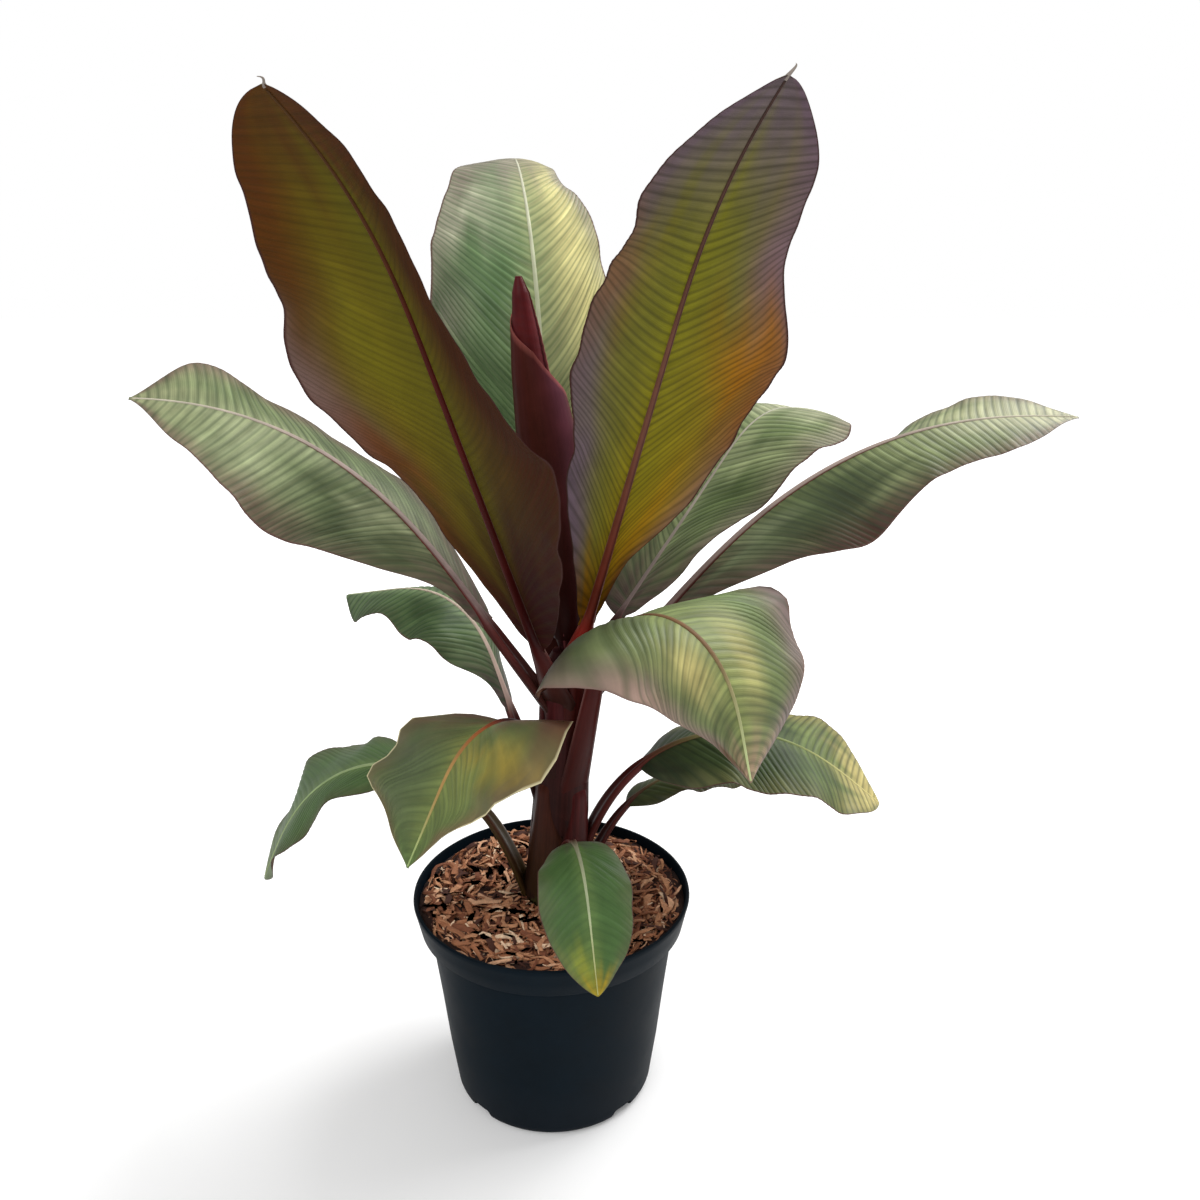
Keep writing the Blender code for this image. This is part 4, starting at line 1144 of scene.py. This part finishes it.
def build_sheath(leaf, codes, material):
    """The clasping foot of one leaf: a thin sheet that widens down round the stem."""
    low = max(STEM_FOOT + SHEATH_FROM_FOOT, leaf.seat - SHEATH_REACH)
    high = min(leaf.seat + SHEATH_OVER, STEM_TOP - SHEATH_FROM_TOP)
    t, c = sheet_grid(SHEATH_ROWS, SHEATH_COLUMNS)
    height = low + (high - low) * t + 0.0 * c
    radius = stem_radius(height)
    narrow = np.arcsin(np.minimum(1.0, SHEATH_OVERLAP * leaf.thick * RIB_FOOT / radius))
    spread = narrow + (SHEATH_CLASP - narrow) * (1.0 - ease(t)) ** SHEATH_TAPER
    angle = math.radians(leaf.compass) + c * spread + SHEATH_SKEW * (1.0 - t)
    lift = SHEATH_LIFT + SHEATH_BULGE * t ** 2
    round_off = (1.0 - c ** 4) * ease(t / SHEATH_FOOT_RUN)
    flush = 1.0 - ease((t - SHEATH_FLUSH[0]) / SHEATH_FLUSH[1])
    outer = radius + (SHEATH_STAND + lift * round_off) * flush
    centre = np.stack([stem_centre(value) for value in height[:, 0]])[:, None, :]
    level = round_about(angle)
    colour = towards(all_over(codes[0], height.shape), codes[1], ease(t) + 0.0 * c)
    at_edge = ease((np.abs(c) - 0.86) / 0.1)
    # darker at the edges, and darkened all over as painted shade
    colour = towards(colour, SHEATH_EDGE, 0.6 * at_edge + 0.0 * t) * SHEATH_SHADE
    piece = add_sheet(
        "sheath_" + leaf.name, centre + outer[..., None] * level,
        centre + (radius - SHEATH_SKIN)[..., None] * level, [material],
        fibre_place(height, angle, *STEM_GRAIN), [colour])
    settle(piece, "stem")


# ---- rolled leaf -----------------------------------------------------------------------

ROLL_ROWS = 150
ROLL_SIDES = 56
ROLL_AXIS = np.array([-math.sin(ROLL_LEAN), 0.0, math.cos(ROLL_LEAN)])
ROLL_ROOT = 0.004            # how deep it stands in the stem
ROLL_TWIST = 0.35            # turns of the free edge from its foot to its tip
ROLL_START = -1.9            # where the free edge begins, in radians from +X
ROLL_VEIN_GAP = 0.0075
ROLL_VEIN_SLANT = 2.2        # side veins that a ring crosses
ROLL_VEIN_HEIGHT = 0.00022
ROLL_EDGE_HEIGHT = 0.0006
ROLL_FULL = 0.02             # radius at which those two heights are reached
ROLL_GRAIN = (6.0, 5.0)      # fineness of the fibre pattern along the roll and round it
ROLL_TINTS = ("#2a0e0b", "#3f1613", "#581a1e")
# a painted sheen on the right side, a painted shadow just under the free edge, and a paler line
# along the edge itself
ROLL_SHEEN_SHADE_AND_LIP_BANDS = (("#6a4850", 0.32, 0.16, 0.40), ("#3a0f16", 1.0, 0.05, 0.8),
              ("#a05a5c", 0.01, 0.02, 0.6))
ROLL_VEIN = "#4c2028"


def build_rolled_leaf(material):
    """The newest leaf, still rolled up: its free edge winds up the spindle."""
    low = np.array([*stem_centre(ROLL_SEAT)[:2], ROLL_SEAT - ROLL_ROOT])
    around = np.arange(ROLL_SIDES + 1) / ROLL_SIDES
    rings, places, tints = [], [], []
    for row in range(ROLL_ROWS):
        share = row / (ROLL_ROWS - 1)
        radius = read_off(ROLL_PROFILE, share)
        centre = low + ROLL_AXIS * (ROLL_LENGTH + ROLL_ROOT) * share
        angle = 2.0 * math.pi * (around + ROLL_TWIST * share) + ROLL_START
        veins = share * ROLL_LENGTH / ROLL_VEIN_GAP + ROLL_VEIN_SLANT * around
        vein = np.sin(2.0 * math.pi * veins)
        size = radius / ROLL_FULL
        reach = radius * (1.0 - ROLL_STEP * around) + ROLL_VEIN_HEIGHT * vein * size
        reach = reach + ROLL_EDGE_HEIGHT * bell(around, 0.02, 0.02) * size
        rings.append(centre + reach[:, None] * round_about(angle))
        places.append(fibre_place(share, angle, *ROLL_GRAIN))
        colour = paint_line(ROLL_TINTS, np.full(ROLL_SIDES + 1, share))
        # painted sheen and painted shadow under the free edge
        colour = add_bands(colour, around, ROLL_SHEEN_SHADE_AND_LIP_BANDS)
        tints.append(towards(colour, ROLL_VEIN, 0.35 * (0.5 + 0.5 * vein) ** 3))
    piece = add_tube("rolled_leaf", rings, material, places, tints)
    settle(piece, "young_leaf", "furled_leaf")


WRAP_ROWS = 70
WRAP_COLUMNS = 41
WRAP_FOOT = 0.04             # share of the roll at which the wrap begins
WRAP_TOP = ((-1.0, 0.91), (0.2, 0.82), (1.0, 0.69))  # across it, and where it ends
WRAP_FLARE = (               # share of the roll, how far the open side stands off there
    (0.05, 0.006), (0.35, 0.009), (0.62, 0.012), (0.72, 0.009), (0.84, 0.0))
WRAP_GAP = 0.0012
WRAP_THICKNESS = 0.0008
WRAP_MIDDLE = math.radians(-95.0)
WRAP_REACH = math.radians(112.0)     # how far it goes round to each side of its middle
WRAP_TINTS = ("#2a0e0b", "#3f1613", "#4c1e1c")
# painted highlight on the wrap's right side
WRAP_HIGHLIGHT = "#583044"
WRAP_LIP = "#9a5450"
WRAP_EDGE = "#2e0d12"


def build_wrap(material):
    """The outer turn of the rolled leaf: its free edge slants down and flares at the right."""
    low = np.array([*stem_centre(ROLL_SEAT)[:2], ROLL_SEAT])
    t, c = sheet_grid(WRAP_ROWS, WRAP_COLUMNS)
    open_side = ease((c + 0.05) / 1.05)
    share = WRAP_FOOT + (read_off(WRAP_TOP, c) - WRAP_FOOT) * t
    radius = read_off(ROLL_PROFILE, share) + WRAP_GAP + read_off(WRAP_FLARE, share) * open_side
    angle = WRAP_MIDDLE + WRAP_REACH * c + 0.0 * t
    level = round_about(angle)
    centre = low + ROLL_AXIS * (ROLL_LENGTH * share)[..., None]
    colour = paint_line(WRAP_TINTS, t + 0.0 * c)
    # painted highlight on the right, growing upwards
    colour = towards(colour, WRAP_HIGHLIGHT, 0.50 * bell(c, 0.6, 0.3) * t)
    colour = towards(colour, WRAP_LIP, 0.7 * ease((t - 0.975) / 0.02) + 0.0 * c)
    colour = towards(colour, WRAP_EDGE, 0.6 * ease((np.abs(c) - 0.93) / 0.06) + 0.0 * t)
    piece = add_sheet(
        "rolled_leaf_wrap", centre + radius[..., None] * level,
        centre + (radius - WRAP_THICKNESS)[..., None] * level, [material],
        fibre_place(share, angle, *ROLL_GRAIN), [colour])
    settle(piece, "young_leaf")


# ---- pot -------------------------------------------------------------------------------

POT_SIDES = 120
POT_CREASE = math.radians(35)
CORNER_STEPS = 8
MERGE_WITHIN = 0.00001


def select_none():
    """Object mode with nothing selected."""
    if bpy.context.object and bpy.context.object.mode != "OBJECT":
        bpy.ops.object.mode_set(mode="OBJECT")
    bpy.ops.object.select_all(action="DESELECT")


def wall_radius(height):
    """The pot body's outer radius, a straight taper up to the collar."""
    return BASE_RADIUS + (BODY_TOP - BASE_RADIUS) * height / SHOULDER


def pot_profile():
    """Radius and height all the way round the pot's wall, underside to floor."""
    centre = BASE_RADIUS - CORNER_RADIUS
    turns = [0.5 * math.pi * step / CORNER_STEPS for step in range(CORNER_STEPS + 1)]
    corner = [
        (centre + CORNER_RADIUS * math.sin(turn), CORNER_RADIUS * (1.0 - math.cos(turn)))
        for turn in turns
    ]
    inner = RIM_RADIUS - WALL - 0.0015
    body = [
        (wall_radius(0.06), 0.06),
        (wall_radius(0.12), 0.12),
        (BODY_TOP - 0.0006, SHOULDER - 0.012),
        (BODY_TOP, SHOULDER - 0.001),
    ]
    collar = [
        (BODY_TOP + 0.0015, SHOULDER),
        (COLLAR - 0.0015, SHOULDER + 0.0004),
        (COLLAR, SHOULDER + 0.002),
        (RIM_RADIUS - 0.0030, SHOULDER + 0.016),
    ]
    rim = [
        (RIM_RADIUS - 0.0008, POT_HEIGHT - 0.0060),
        (RIM_RADIUS, POT_HEIGHT - 0.0030),
        (RIM_RADIUS - 0.0004, POT_HEIGHT - 0.0010),
        (RIM_RADIUS - 0.0016, POT_HEIGHT),
        (inner + 0.0008, POT_HEIGHT - 0.0002),
        (inner, POT_HEIGHT - 0.0015),
    ]
    inside = [
        (inner - 0.0035, SHOULDER + 0.003),
        (BODY_TOP - WALL, SHOULDER - 0.004),
        (wall_radius(0.10) - WALL, 0.10),
        (wall_radius(0.04) - WALL, 0.04),
        (BASE_RADIUS - 0.022, FLOOR_THICKNESS),
    ]
    return corner + body + collar + rim + inside


def build_pot(pot):
    """Draws the wall's rings up from the underside, over the rim and down inside."""
    profile = pot_profile()
    select_none()
    bpy.ops.mesh.primitive_circle_add(
        vertices=POT_SIDES, radius=profile[0][0], fill_type="NGON", location=(0.0, 0.0, 0.0))
    piece = bpy.context.object
    piece.name = "nursery_pot"
    bpy.ops.object.mode_set(mode="EDIT")
    bpy.ops.mesh.select_mode(type="EDGE")
    bpy.ops.mesh.select_all(action="SELECT")
    for (was, low), (radius, high) in zip(profile, profile[1:]):
        bpy.ops.mesh.extrude_edges_move(
            TRANSFORM_OT_translate={"value": (0.0, 0.0, high - low)})
        bpy.ops.transform.resize(
            value=(radius / was, radius / was, 1.0), center_override=(0.0, 0.0, high))
    bpy.ops.mesh.edge_face_add()
    bpy.ops.mesh.select_all(action="SELECT")
    bpy.ops.mesh.remove_doubles(threshold=MERGE_WITHIN)
    bpy.ops.mesh.normals_make_consistent(inside=False)
    bpy.ops.object.mode_set(mode="OBJECT")
    for notch in range(NOTCH_COUNT):
        cut_notch(piece, 2.0 * math.pi * (notch + 0.5) / NOTCH_COUNT)
    piece.data.materials.clear()
    piece.data.materials.append(pot_material(pot.plastic_code))
    bpy.context.view_layer.objects.active = piece
    select_none()
    piece.select_set(True)
    bpy.ops.object.shade_smooth_by_angle(angle=POT_CREASE)
    settle(piece, "pot_plastic", "pot")


def cut_notch(piece, angle):
    """Cuts one shallow arch with sloping sides through the pot's foot."""
    depth = NOTCH_DEPTH + NOTCH_OVERRUN
    middle = BASE_RADIUS - NOTCH_DEPTH + depth / 2.0
    select_none()
    bpy.ops.mesh.primitive_cube_add(size=1.0, location=(middle, 0.0, 0.0))
    block = bpy.context.object
    block.scale = (depth, NOTCH_WIDTH, 2.0 * NOTCH_HEIGHT)
    bpy.ops.object.transform_apply(location=True, rotation=False, scale=True)
    for vertex in block.data.vertices:
        if vertex.co.z > 0.0:
            vertex.co.y *= NOTCH_TOP
        turned = (vertex.co.x * math.cos(angle) - vertex.co.y * math.sin(angle),
                  vertex.co.x * math.sin(angle) + vertex.co.y * math.cos(angle))
        vertex.co.x, vertex.co.y = turned
    bevel = block.modifiers.new("round", "BEVEL")
    bevel.width = NOTCH_ROUND
    bevel.segments = 3
    bpy.ops.object.modifier_apply(modifier=bevel.name)
    bpy.context.view_layer.objects.active = piece
    cut = piece.modifiers.new("notch", "BOOLEAN")
    cut.operation = "DIFFERENCE"
    cut.solver = "EXACT"
    cut.object = block
    bpy.ops.object.modifier_apply(modifier=cut.name)
    bpy.data.objects.remove(block, do_unlink=True)


# ---- mulch -----------------------------------------------------------------------------

BED_RINGS = 26
BED_RING = 0.005             # distance from one ring of the bed's top to the next
BED_SKIN = 0.002             # points no deeper than this belong to its top
BED_BUMP = 0.0012
MOUND_HEIGHT = 0.0035        # of the low ring heaped round the stem
MOUND_MIDDLE = 0.006         # its place on X, its radius and its reach
MOUND_RADIUS = 0.035
MOUND_REACH = 0.03
# the fines' colour, made dark partly as painted shade in the gaps between the chips
FINES_AND_GAP_SHADE = "#38211a"
BARK_COLOURS = (             # hex, share of the chips
    ("#4a2618", 0.12),
    ("#7e4a30", 0.20),
    ("#a46b49", 0.27),
    ("#c28a64", 0.21),
    ("#dba984", 0.13),
    ("#f0d0ae", 0.07),
)

STATIONS = 6                 # rings of a chip
CORNERS = 6                  # points of a ring
CHIP_LENGTH = 0.0155         # half the chips are shorter
CHIP_SPREAD = 0.50           # spread of the logarithm of their length
CHIP_LENGTHS = (0.005, 0.046)
SLENDERNESS = (0.10, 0.26)   # width against length
CHIP_WIDTHS = (0.0016, 0.0075)
FLATNESS = (0.25, 0.6)       # thickness against width
STREWN_WITHIN = 0.1325       # radius of the chips' middles, less LONG_INWARD of a length
LONG_INWARD = 0.3
WALL_RING = 0.105            # outside this the chips lie round the wall
ALONG_WALL = 0.5             # spread of their direction there, in radians
CHIP_PITCH = 0.36            # spread of a chip's slope and of its turn about its length
CHIP_BANK = 0.5
CHIP_LAYER = (-0.0005, 0.0045)       # height over the bed
PITCH_LIFT = 0.25            # share of its sloping length by which a chip stands higher
RAGGEDNESS = (0.75, 1.15)    # reach of a corner, of a ring at the ends and of the others
END_TAPER = (0.35, 1.0)
BODY_TAPER = (0.85, 1.15)
CHIP_BOW = 0.16              # spread of the bow, of a chip's length
CHIP_SWAY = 0.10             # spread of the rings' sideways shift, in a chip WIDE_CHIP wide
WIDE_CHIP = 0.006
STEM_SPOT = 0.0048           # where the stem stands on X, and the bare ring round it
STEM_RING = 0.034
CHIPS_WITHIN = 0.1338
CHIPS_BELOW_RIM = 0.0005
CHIP_CREASE = math.radians(30)


def bed_height(x, y):
    """The mulch's uneven level."""
    bumps = (math.sin(61.0 * x + 1.3) * math.cos(53.0 * y - 0.4)
             + 0.6 * math.sin(131.0 * x - 97.0 * y) + 0.4 * math.cos(211.0 * y + 83.0 * x))
    outside = (math.hypot(x - MOUND_MIDDLE, y) - MOUND_RADIUS) / MOUND_REACH
    return BED_LEVEL + BED_BUMP * bumps + MOUND_HEIGHT * math.exp(-outside ** 2)


def build_bed():
    """The fines under the bark chips, dark partly as their own colour and partly as painted
    shade in the gaps between the chips.
    """
    select_none()
    bpy.ops.mesh.primitive_cylinder_add(
        vertices=POT_SIDES, radius=BED_RADIUS, depth=BED_DEPTH,
        location=(0.0, 0.0, BED_LEVEL - BED_DEPTH / 2.0))
    piece = bpy.context.object
    piece.name = "mulch_bed"
    bpy.ops.object.transform_apply(location=True, rotation=False, scale=False)
    for polygon in piece.data.polygons:
        polygon.select = polygon.normal.z > 0.9
    for edge in piece.data.edges:
        edge.select = False
    for vertex in piece.data.vertices:
        vertex.select = vertex.co.z > BED_LEVEL - BED_SKIN
    bpy.ops.object.mode_set(mode="EDIT")
    bpy.ops.mesh.select_mode(type="FACE")
    for _ in range(BED_RINGS):
        bpy.ops.mesh.inset(thickness=BED_RING, depth=0.0)
    bpy.ops.object.mode_set(mode="OBJECT")
    for vertex in piece.data.vertices:
        if vertex.co.z > BED_LEVEL - BED_SKIN:
            vertex.co.z = bed_height(vertex.co.x, vertex.co.y)
    piece.data.materials.append(bark_material("bark_fines_and_gap_shade", FINES_AND_GAP_SHADE, 0.95))
    piece.data.shade_smooth()
    settle(piece, "bark", "mulch")


def draw_chip(rng):
    """One chip drawn at random: its size, its place, how it lies and its colour."""
    chip = SimpleNamespace()
    drawn = rng.lognormal(math.log(CHIP_LENGTH), CHIP_SPREAD)
    chip.length = float(np.clip(drawn, *CHIP_LENGTHS))
    chip.width = float(np.clip(chip.length * rng.uniform(*SLENDERNESS), *CHIP_WIDTHS))
    chip.deep = chip.width * rng.uniform(*FLATNESS)
    within = STREWN_WITHIN - LONG_INWARD * chip.length
    radius = math.sqrt(rng.uniform(0.0, 1.0)) * within
    bearing = rng.uniform(0.0, 2.0 * math.pi)
    x, y = radius * math.cos(bearing), radius * math.sin(bearing)
    chip.yaw = rng.uniform(0.0, 2.0 * math.pi)
    if radius > WALL_RING:
        chip.yaw = bearing + math.pi / 2.0 + rng.normal(0.0, ALONG_WALL)
    chip.pitch = rng.normal(0.0, CHIP_PITCH)
    chip.bank = rng.normal(0.0, CHIP_BANK)
    level = (bed_height(x, y) + rng.uniform(*CHIP_LAYER)
             + PITCH_LIFT * chip.length * abs(chip.pitch))
    chip.middle = np.array([x, y, level])
    chip.wobble = rng.uniform(*RAGGEDNESS, (STATIONS, CORNERS))
    chip.taper = rng.uniform(*END_TAPER, STATIONS)
    chip.taper[1:-1] = rng.uniform(*BODY_TAPER, STATIONS - 2)
    chip.bow = rng.normal(0.0, CHIP_BOW)
    chip.sway = rng.normal(0.0, CHIP_SWAY * chip.width / WIDE_CHIP, STATIONS)
    shares = np.cumsum([share for _, share in BARK_COLOURS])
    chip.colour = int(np.searchsorted(shares, rng.uniform(0.0, 1.0) * 0.999))
    return chip


def chip_points(chip):
    """The corners of a chip, ring by ring."""
    run = np.array([math.cos(chip.yaw) * math.cos(chip.pitch),
                    math.sin(chip.yaw) * math.cos(chip.pitch), math.sin(chip.pitch)])
    flat = np.array([-math.sin(chip.yaw), math.cos(chip.yaw), 0.0])
    side = flat * math.cos(chip.bank) + np.cross(run, flat) * math.sin(chip.bank)
    rise = np.cross(run, side)
    angle = 2.0 * math.pi * (np.arange(CORNERS) + 0.5) / CORNERS
    points = []
    for station in range(STATIONS):
        at = chip.length * (station / (STATIONS - 1) - 0.5)
        bowed = chip.bow * chip.length * (1.0 - (2.0 * at / chip.length) ** 2)
        centre = (chip.middle + run * at
                  + side * (chip.sway[station] * chip.width + bowed) + rise * 0.3 * abs(bowed))
        half = chip.width / 2.0 * chip.taper[station] * chip.wobble[station]
        for reach, turn in zip(half, angle):
            points.append(centre + side * (reach * math.cos(turn))
                          + rise * (chip.deep / chip.width * reach * math.sin(turn)))
    return points


def build_chips(mulch):
    """Bark chips strewn in layers: one joined mesh of slender chips, some of them bowed."""
    rng = np.random.default_rng(mulch.seed)
    points, faces, slots = [], [], []
    for _ in range(mulch.chips):
        chip = draw_chip(rng)
        if math.hypot(chip.middle[0] - STEM_SPOT, chip.middle[1]) < STEM_RING:
            continue
        first = len(points)
        points.extend(chip_points(chip))
        for face in tube_faces(STATIONS, CORNERS):
            faces.append(tuple(first + place for place in face))
            slots.append(chip.colour)
    points = np.array(points)
    points[:, 2] = np.minimum(points[:, 2], POT_HEIGHT - CHIPS_BELOW_RIM)
    reach = np.hypot(points[:, 0], points[:, 1])
    points[:, :2] *= np.minimum(1.0, CHIPS_WITHIN / np.maximum(reach, 1e-9))[:, None]
    materials = [bark_material(f"pine_bark_chip_{place}", code)
                 for place, (code, _) in enumerate(BARK_COLOURS)]
    piece = add_piece("bark_chips", points, faces, materials, slots)
    outward(piece)
    piece.data.set_sharp_from_angle(angle=CHIP_CREASE)
    settle(piece, "bark")


# ---- studio ----------------------------------------------------------------------------

CAMERA_PLACE = (0.049, -1.055, 0.911)
CAMERA_DIP = 19.6            # degrees below level
LENS = 36.0                  # millimetres
SENSOR = 36.0
FLOOR_SIZE = 14.0
KEY_LAMP = ((1.55, 0.85, 2.35), (-24.0, 36.0, 0.0), 1.7)     # place, turn in degrees, size
FILL_LAMP = ((-0.9, -1.9, 1.9), (48.0, 0.0, -25.0), 1.6)
FILL_SHARE = 0.35            # its power against the key lamp's


def add_camera(scene):
    """The camera, level across and dipped towards the pot."""
    bpy.ops.object.camera_add(
        location=CAMERA_PLACE, rotation=(math.radians(90.0 - CAMERA_DIP), 0.0, 0.0))
    camera = bpy.context.object
    camera.data.lens = LENS
    camera.data.sensor_width = SENSOR
    camera.data.dof.use_dof = False
    scene.camera = camera


def add_floor(stage):
    """The paper that the pot stands on."""
    bpy.ops.mesh.primitive_plane_add(size=FLOOR_SIZE, location=(0.0, 0.0, 0.0))
    floor = bpy.context.object
    floor.name = "studio_floor"
    floor.data.materials.append(paper_material(stage))


def add_lamp(place, turn, size, power):
    """A square lamp."""
    bpy.ops.object.light_add(type="AREA", location=place)
    lamp = bpy.context.object
    lamp.data.energy = power
    lamp.data.size = size
    lamp.rotation_euler = [math.radians(part) for part in turn]


def light_sky(scene, stage):
    """Even light from all round, with a brightness of its own where it is seen."""
    world = bpy.data.worlds.new("even_sky")
    scene.world = world
    world.use_nodes = True
    tree = world.node_tree
    rays = add_node(tree, "LightPath")
    strength = add_node(tree, "MapRange", {
        "Value": rays.outputs["Is Camera Ray"], "To Min": stage.sky,
        "To Max": stage.sky_seen})
    sky = tree.nodes["Background"]
    sky.inputs["Color"].default_value = (1.0, 1.0, 1.0, 1.0)
    tree.links.new(strength.outputs[0], sky.inputs["Strength"])
    scene.view_settings.view_transform = "Standard"


# ---- settings, operators and panel ---------------------------------------------------------

FIRST_BLADE_SEED = 100


class PotSettings(PropertyGroup):
    """What a user would change on the pot."""

    plastic: FloatVectorProperty(
        name="Plastic", description="Colour of the moulded pot", subtype="COLOR",
        size=3, min=0.0, max=1.0, default=linear("#06121a")[:3])

    @property
    def plastic_code(self):
        """The same colour as sRGB hex."""
        curve = [c * 12.92 if c <= 0.0031308 else 1.055 * c ** (1 / 2.4) - 0.055
                 for c in self.plastic]
        return "#" + "".join(f"{round(255 * c):02x}" for c in curve)


class MulchSettings(PropertyGroup):
    """What a user would change in the bark mulch."""

    chips: IntProperty(
        name="Chips", description="How many bark chips are strewn", default=2250,
        min=100, max=6000)
    seed: IntProperty(
        name="Seed", description="Another seed strews the chips another way", default=11,
        min=0)


class PlantSettings(PropertyGroup):
    """What a user would change on the plant."""

    vein_spacing: FloatProperty(
        name="Vein spacing", description="Distance between side veins along the rib",
        default=0.0085, min=0.003, max=0.03, unit="LENGTH")
    vein_turn: FloatProperty(
        name="Vein turn", description="Degrees by which the side veins stand squarer to the rib",
        default=0.0, min=-10.0, max=35.0)
    pleat_height: FloatProperty(
        name="Pleat height", description="How far the skin rises between side veins",
        default=0.00075, min=0.0, max=0.003, unit="LENGTH")
    edge_ripple: FloatProperty(
        name="Edge ripple", description="Small waves along the blades' edges",
        default=0.0022, min=0.0, max=0.01, unit="LENGTH")
    leaf_thickness: FloatProperty(
        name="Leaf thickness", description="Thickness of a blade",
        default=0.0008, min=0.0003, max=0.003, unit="LENGTH")


class StageSettings(PropertyGroup):
    """What a user would change in the studio."""

    floor: FloatVectorProperty(
        name="Floor", description="Colour of the floor", subtype="COLOR", size=3,
        min=0.0, max=1.0, default=(0.94, 0.94, 0.94))
    paper_glow: FloatProperty(
        name="Paper glow", description="Light of the floor's own, so that it fades into the sky",
        default=0.66, min=0.0)
    key_power: FloatProperty(
        name="Key light", description="Power of the large lamp at the right", default=80.0,
        min=0.0, unit="POWER")
    sky: FloatProperty(
        name="Sky", description="Strength of the even light from all round", default=0.52,
        min=0.0)
    sky_seen: FloatProperty(
        name="Backdrop", description="Brightness of the sky where it is seen directly",
        default=1.0, min=0.0)


class BANANA_OT_pot(Operator):
    """Build the nursery pot"""

    bl_idname = "banana.pot"
    bl_label = "Nursery pot"

    def execute(self, context):
        build_pot(context.scene.banana_pot)
        return {"FINISHED"}


class BANANA_OT_mulch(Operator):
    """Build the bark mulch: the fines and the chips on them"""

    bl_idname = "banana.mulch"
    bl_label = "Bark mulch"

    def execute(self, context):
        build_bed()
        build_chips(context.scene.banana_mulch)
        return {"FINISHED"}


class BANANA_OT_stem(Operator):
    """Build the stem and the sheaths that clasp it"""

    bl_idname = "banana.stem"
    bl_label = "Stem"

    def execute(self, context):
        material = stalk_material("banana_leaf_sheath", streak=0.38, roughness=0.42)
        build_stem(material)
        for leaf in LEAVES:
            if leaf.name in SHEATH_COLOURS:
                build_sheath(leaf, SHEATH_COLOURS[leaf.name], material)
        return {"FINISHED"}


class BANANA_OT_leaves(Operator):
    """Build every open leaf: its blade, its rib and its petiole"""

    bl_idname = "banana.leaves"
    bl_label = "Leaves"

    def execute(self, context):
        plant = context.scene.banana_plant
        stalk = stalk_material("banana_petiole", streak=0.16, roughness=0.36)
        for number, leaf in enumerate(LEAVES):
            skin = SKINS[leaf.name]
            build_blade(leaf, skin, plant, FIRST_BLADE_SEED + number)
            build_stalk(leaf, skin, stalk)
            if leaf.tail:
                build_thread(leaf, stalk)
        return {"FINISHED"}


class BANANA_OT_rolled_leaf(Operator):
    """Build the newest leaf, still rolled up"""

    bl_idname = "banana.rolled_leaf"
    bl_label = "Rolled leaf"

    def execute(self, context):
        material = stalk_material("banana_rolled_leaf", streak=0.14, roughness=0.36)
        build_rolled_leaf(material)
        build_wrap(material)
        return {"FINISHED"}


class BANANA_OT_stage(Operator):
    """Build the camera, the floor and the lights"""

    bl_idname = "banana.stage"
    bl_label = "Studio"

    def execute(self, context):
        stage = context.scene.banana_stage
        select_none()
        add_camera(context.scene)
        add_floor(stage)
        add_lamp(*KEY_LAMP, stage.key_power)
        add_lamp(*FILL_LAMP, FILL_SHARE * stage.key_power)
        light_sky(context.scene, stage)
        return {"FINISHED"}


STEPS = (BANANA_OT_stage, BANANA_OT_pot, BANANA_OT_mulch, BANANA_OT_stem,
         BANANA_OT_leaves, BANANA_OT_rolled_leaf)


class BANANA_PT_parts(Panel):
    """The plant's pieces and their settings"""

    bl_idname = "BANANA_PT_parts"
    bl_label = "Potted banana"
    bl_space_type = "VIEW_3D"
    bl_region_type = "UI"
    bl_category = "Banana"

    def draw(self, context):
        for group in (context.scene.banana_pot, context.scene.banana_mulch,
                      context.scene.banana_plant, context.scene.banana_stage):
            for name in group.__annotations__:
                self.layout.prop(group, name)
        for step in STEPS:
            self.layout.operator(step.bl_idname)


GROUPS = {"banana_pot": PotSettings, "banana_mulch": MulchSettings,
          "banana_plant": PlantSettings, "banana_stage": StageSettings}
CLASSES = (*GROUPS.values(), *STEPS, BANANA_PT_parts)


def register():
    """Adds the settings, the operators and the panel."""
    for item in CLASSES:
        bpy.utils.register_class(item)
    for name, group in GROUPS.items():
        setattr(bpy.types.Scene, name, PointerProperty(type=group))


def unregister():
    """Takes them away again."""
    for name in GROUPS:
        delattr(bpy.types.Scene, name)
    for item in reversed(CLASSES):
        bpy.utils.unregister_class(item)


def main():
    """Builds everything: the studio, the pot, the mulch, the stem, the leaves and the rolled
    leaf.
    """
    register()
    bpy.ops.banana.stage()
    bpy.ops.banana.pot()
    bpy.ops.banana.mulch()
    bpy.ops.banana.stem()
    bpy.ops.banana.leaves()
    bpy.ops.banana.rolled_leaf()


if __name__ == "__main__":
    main()
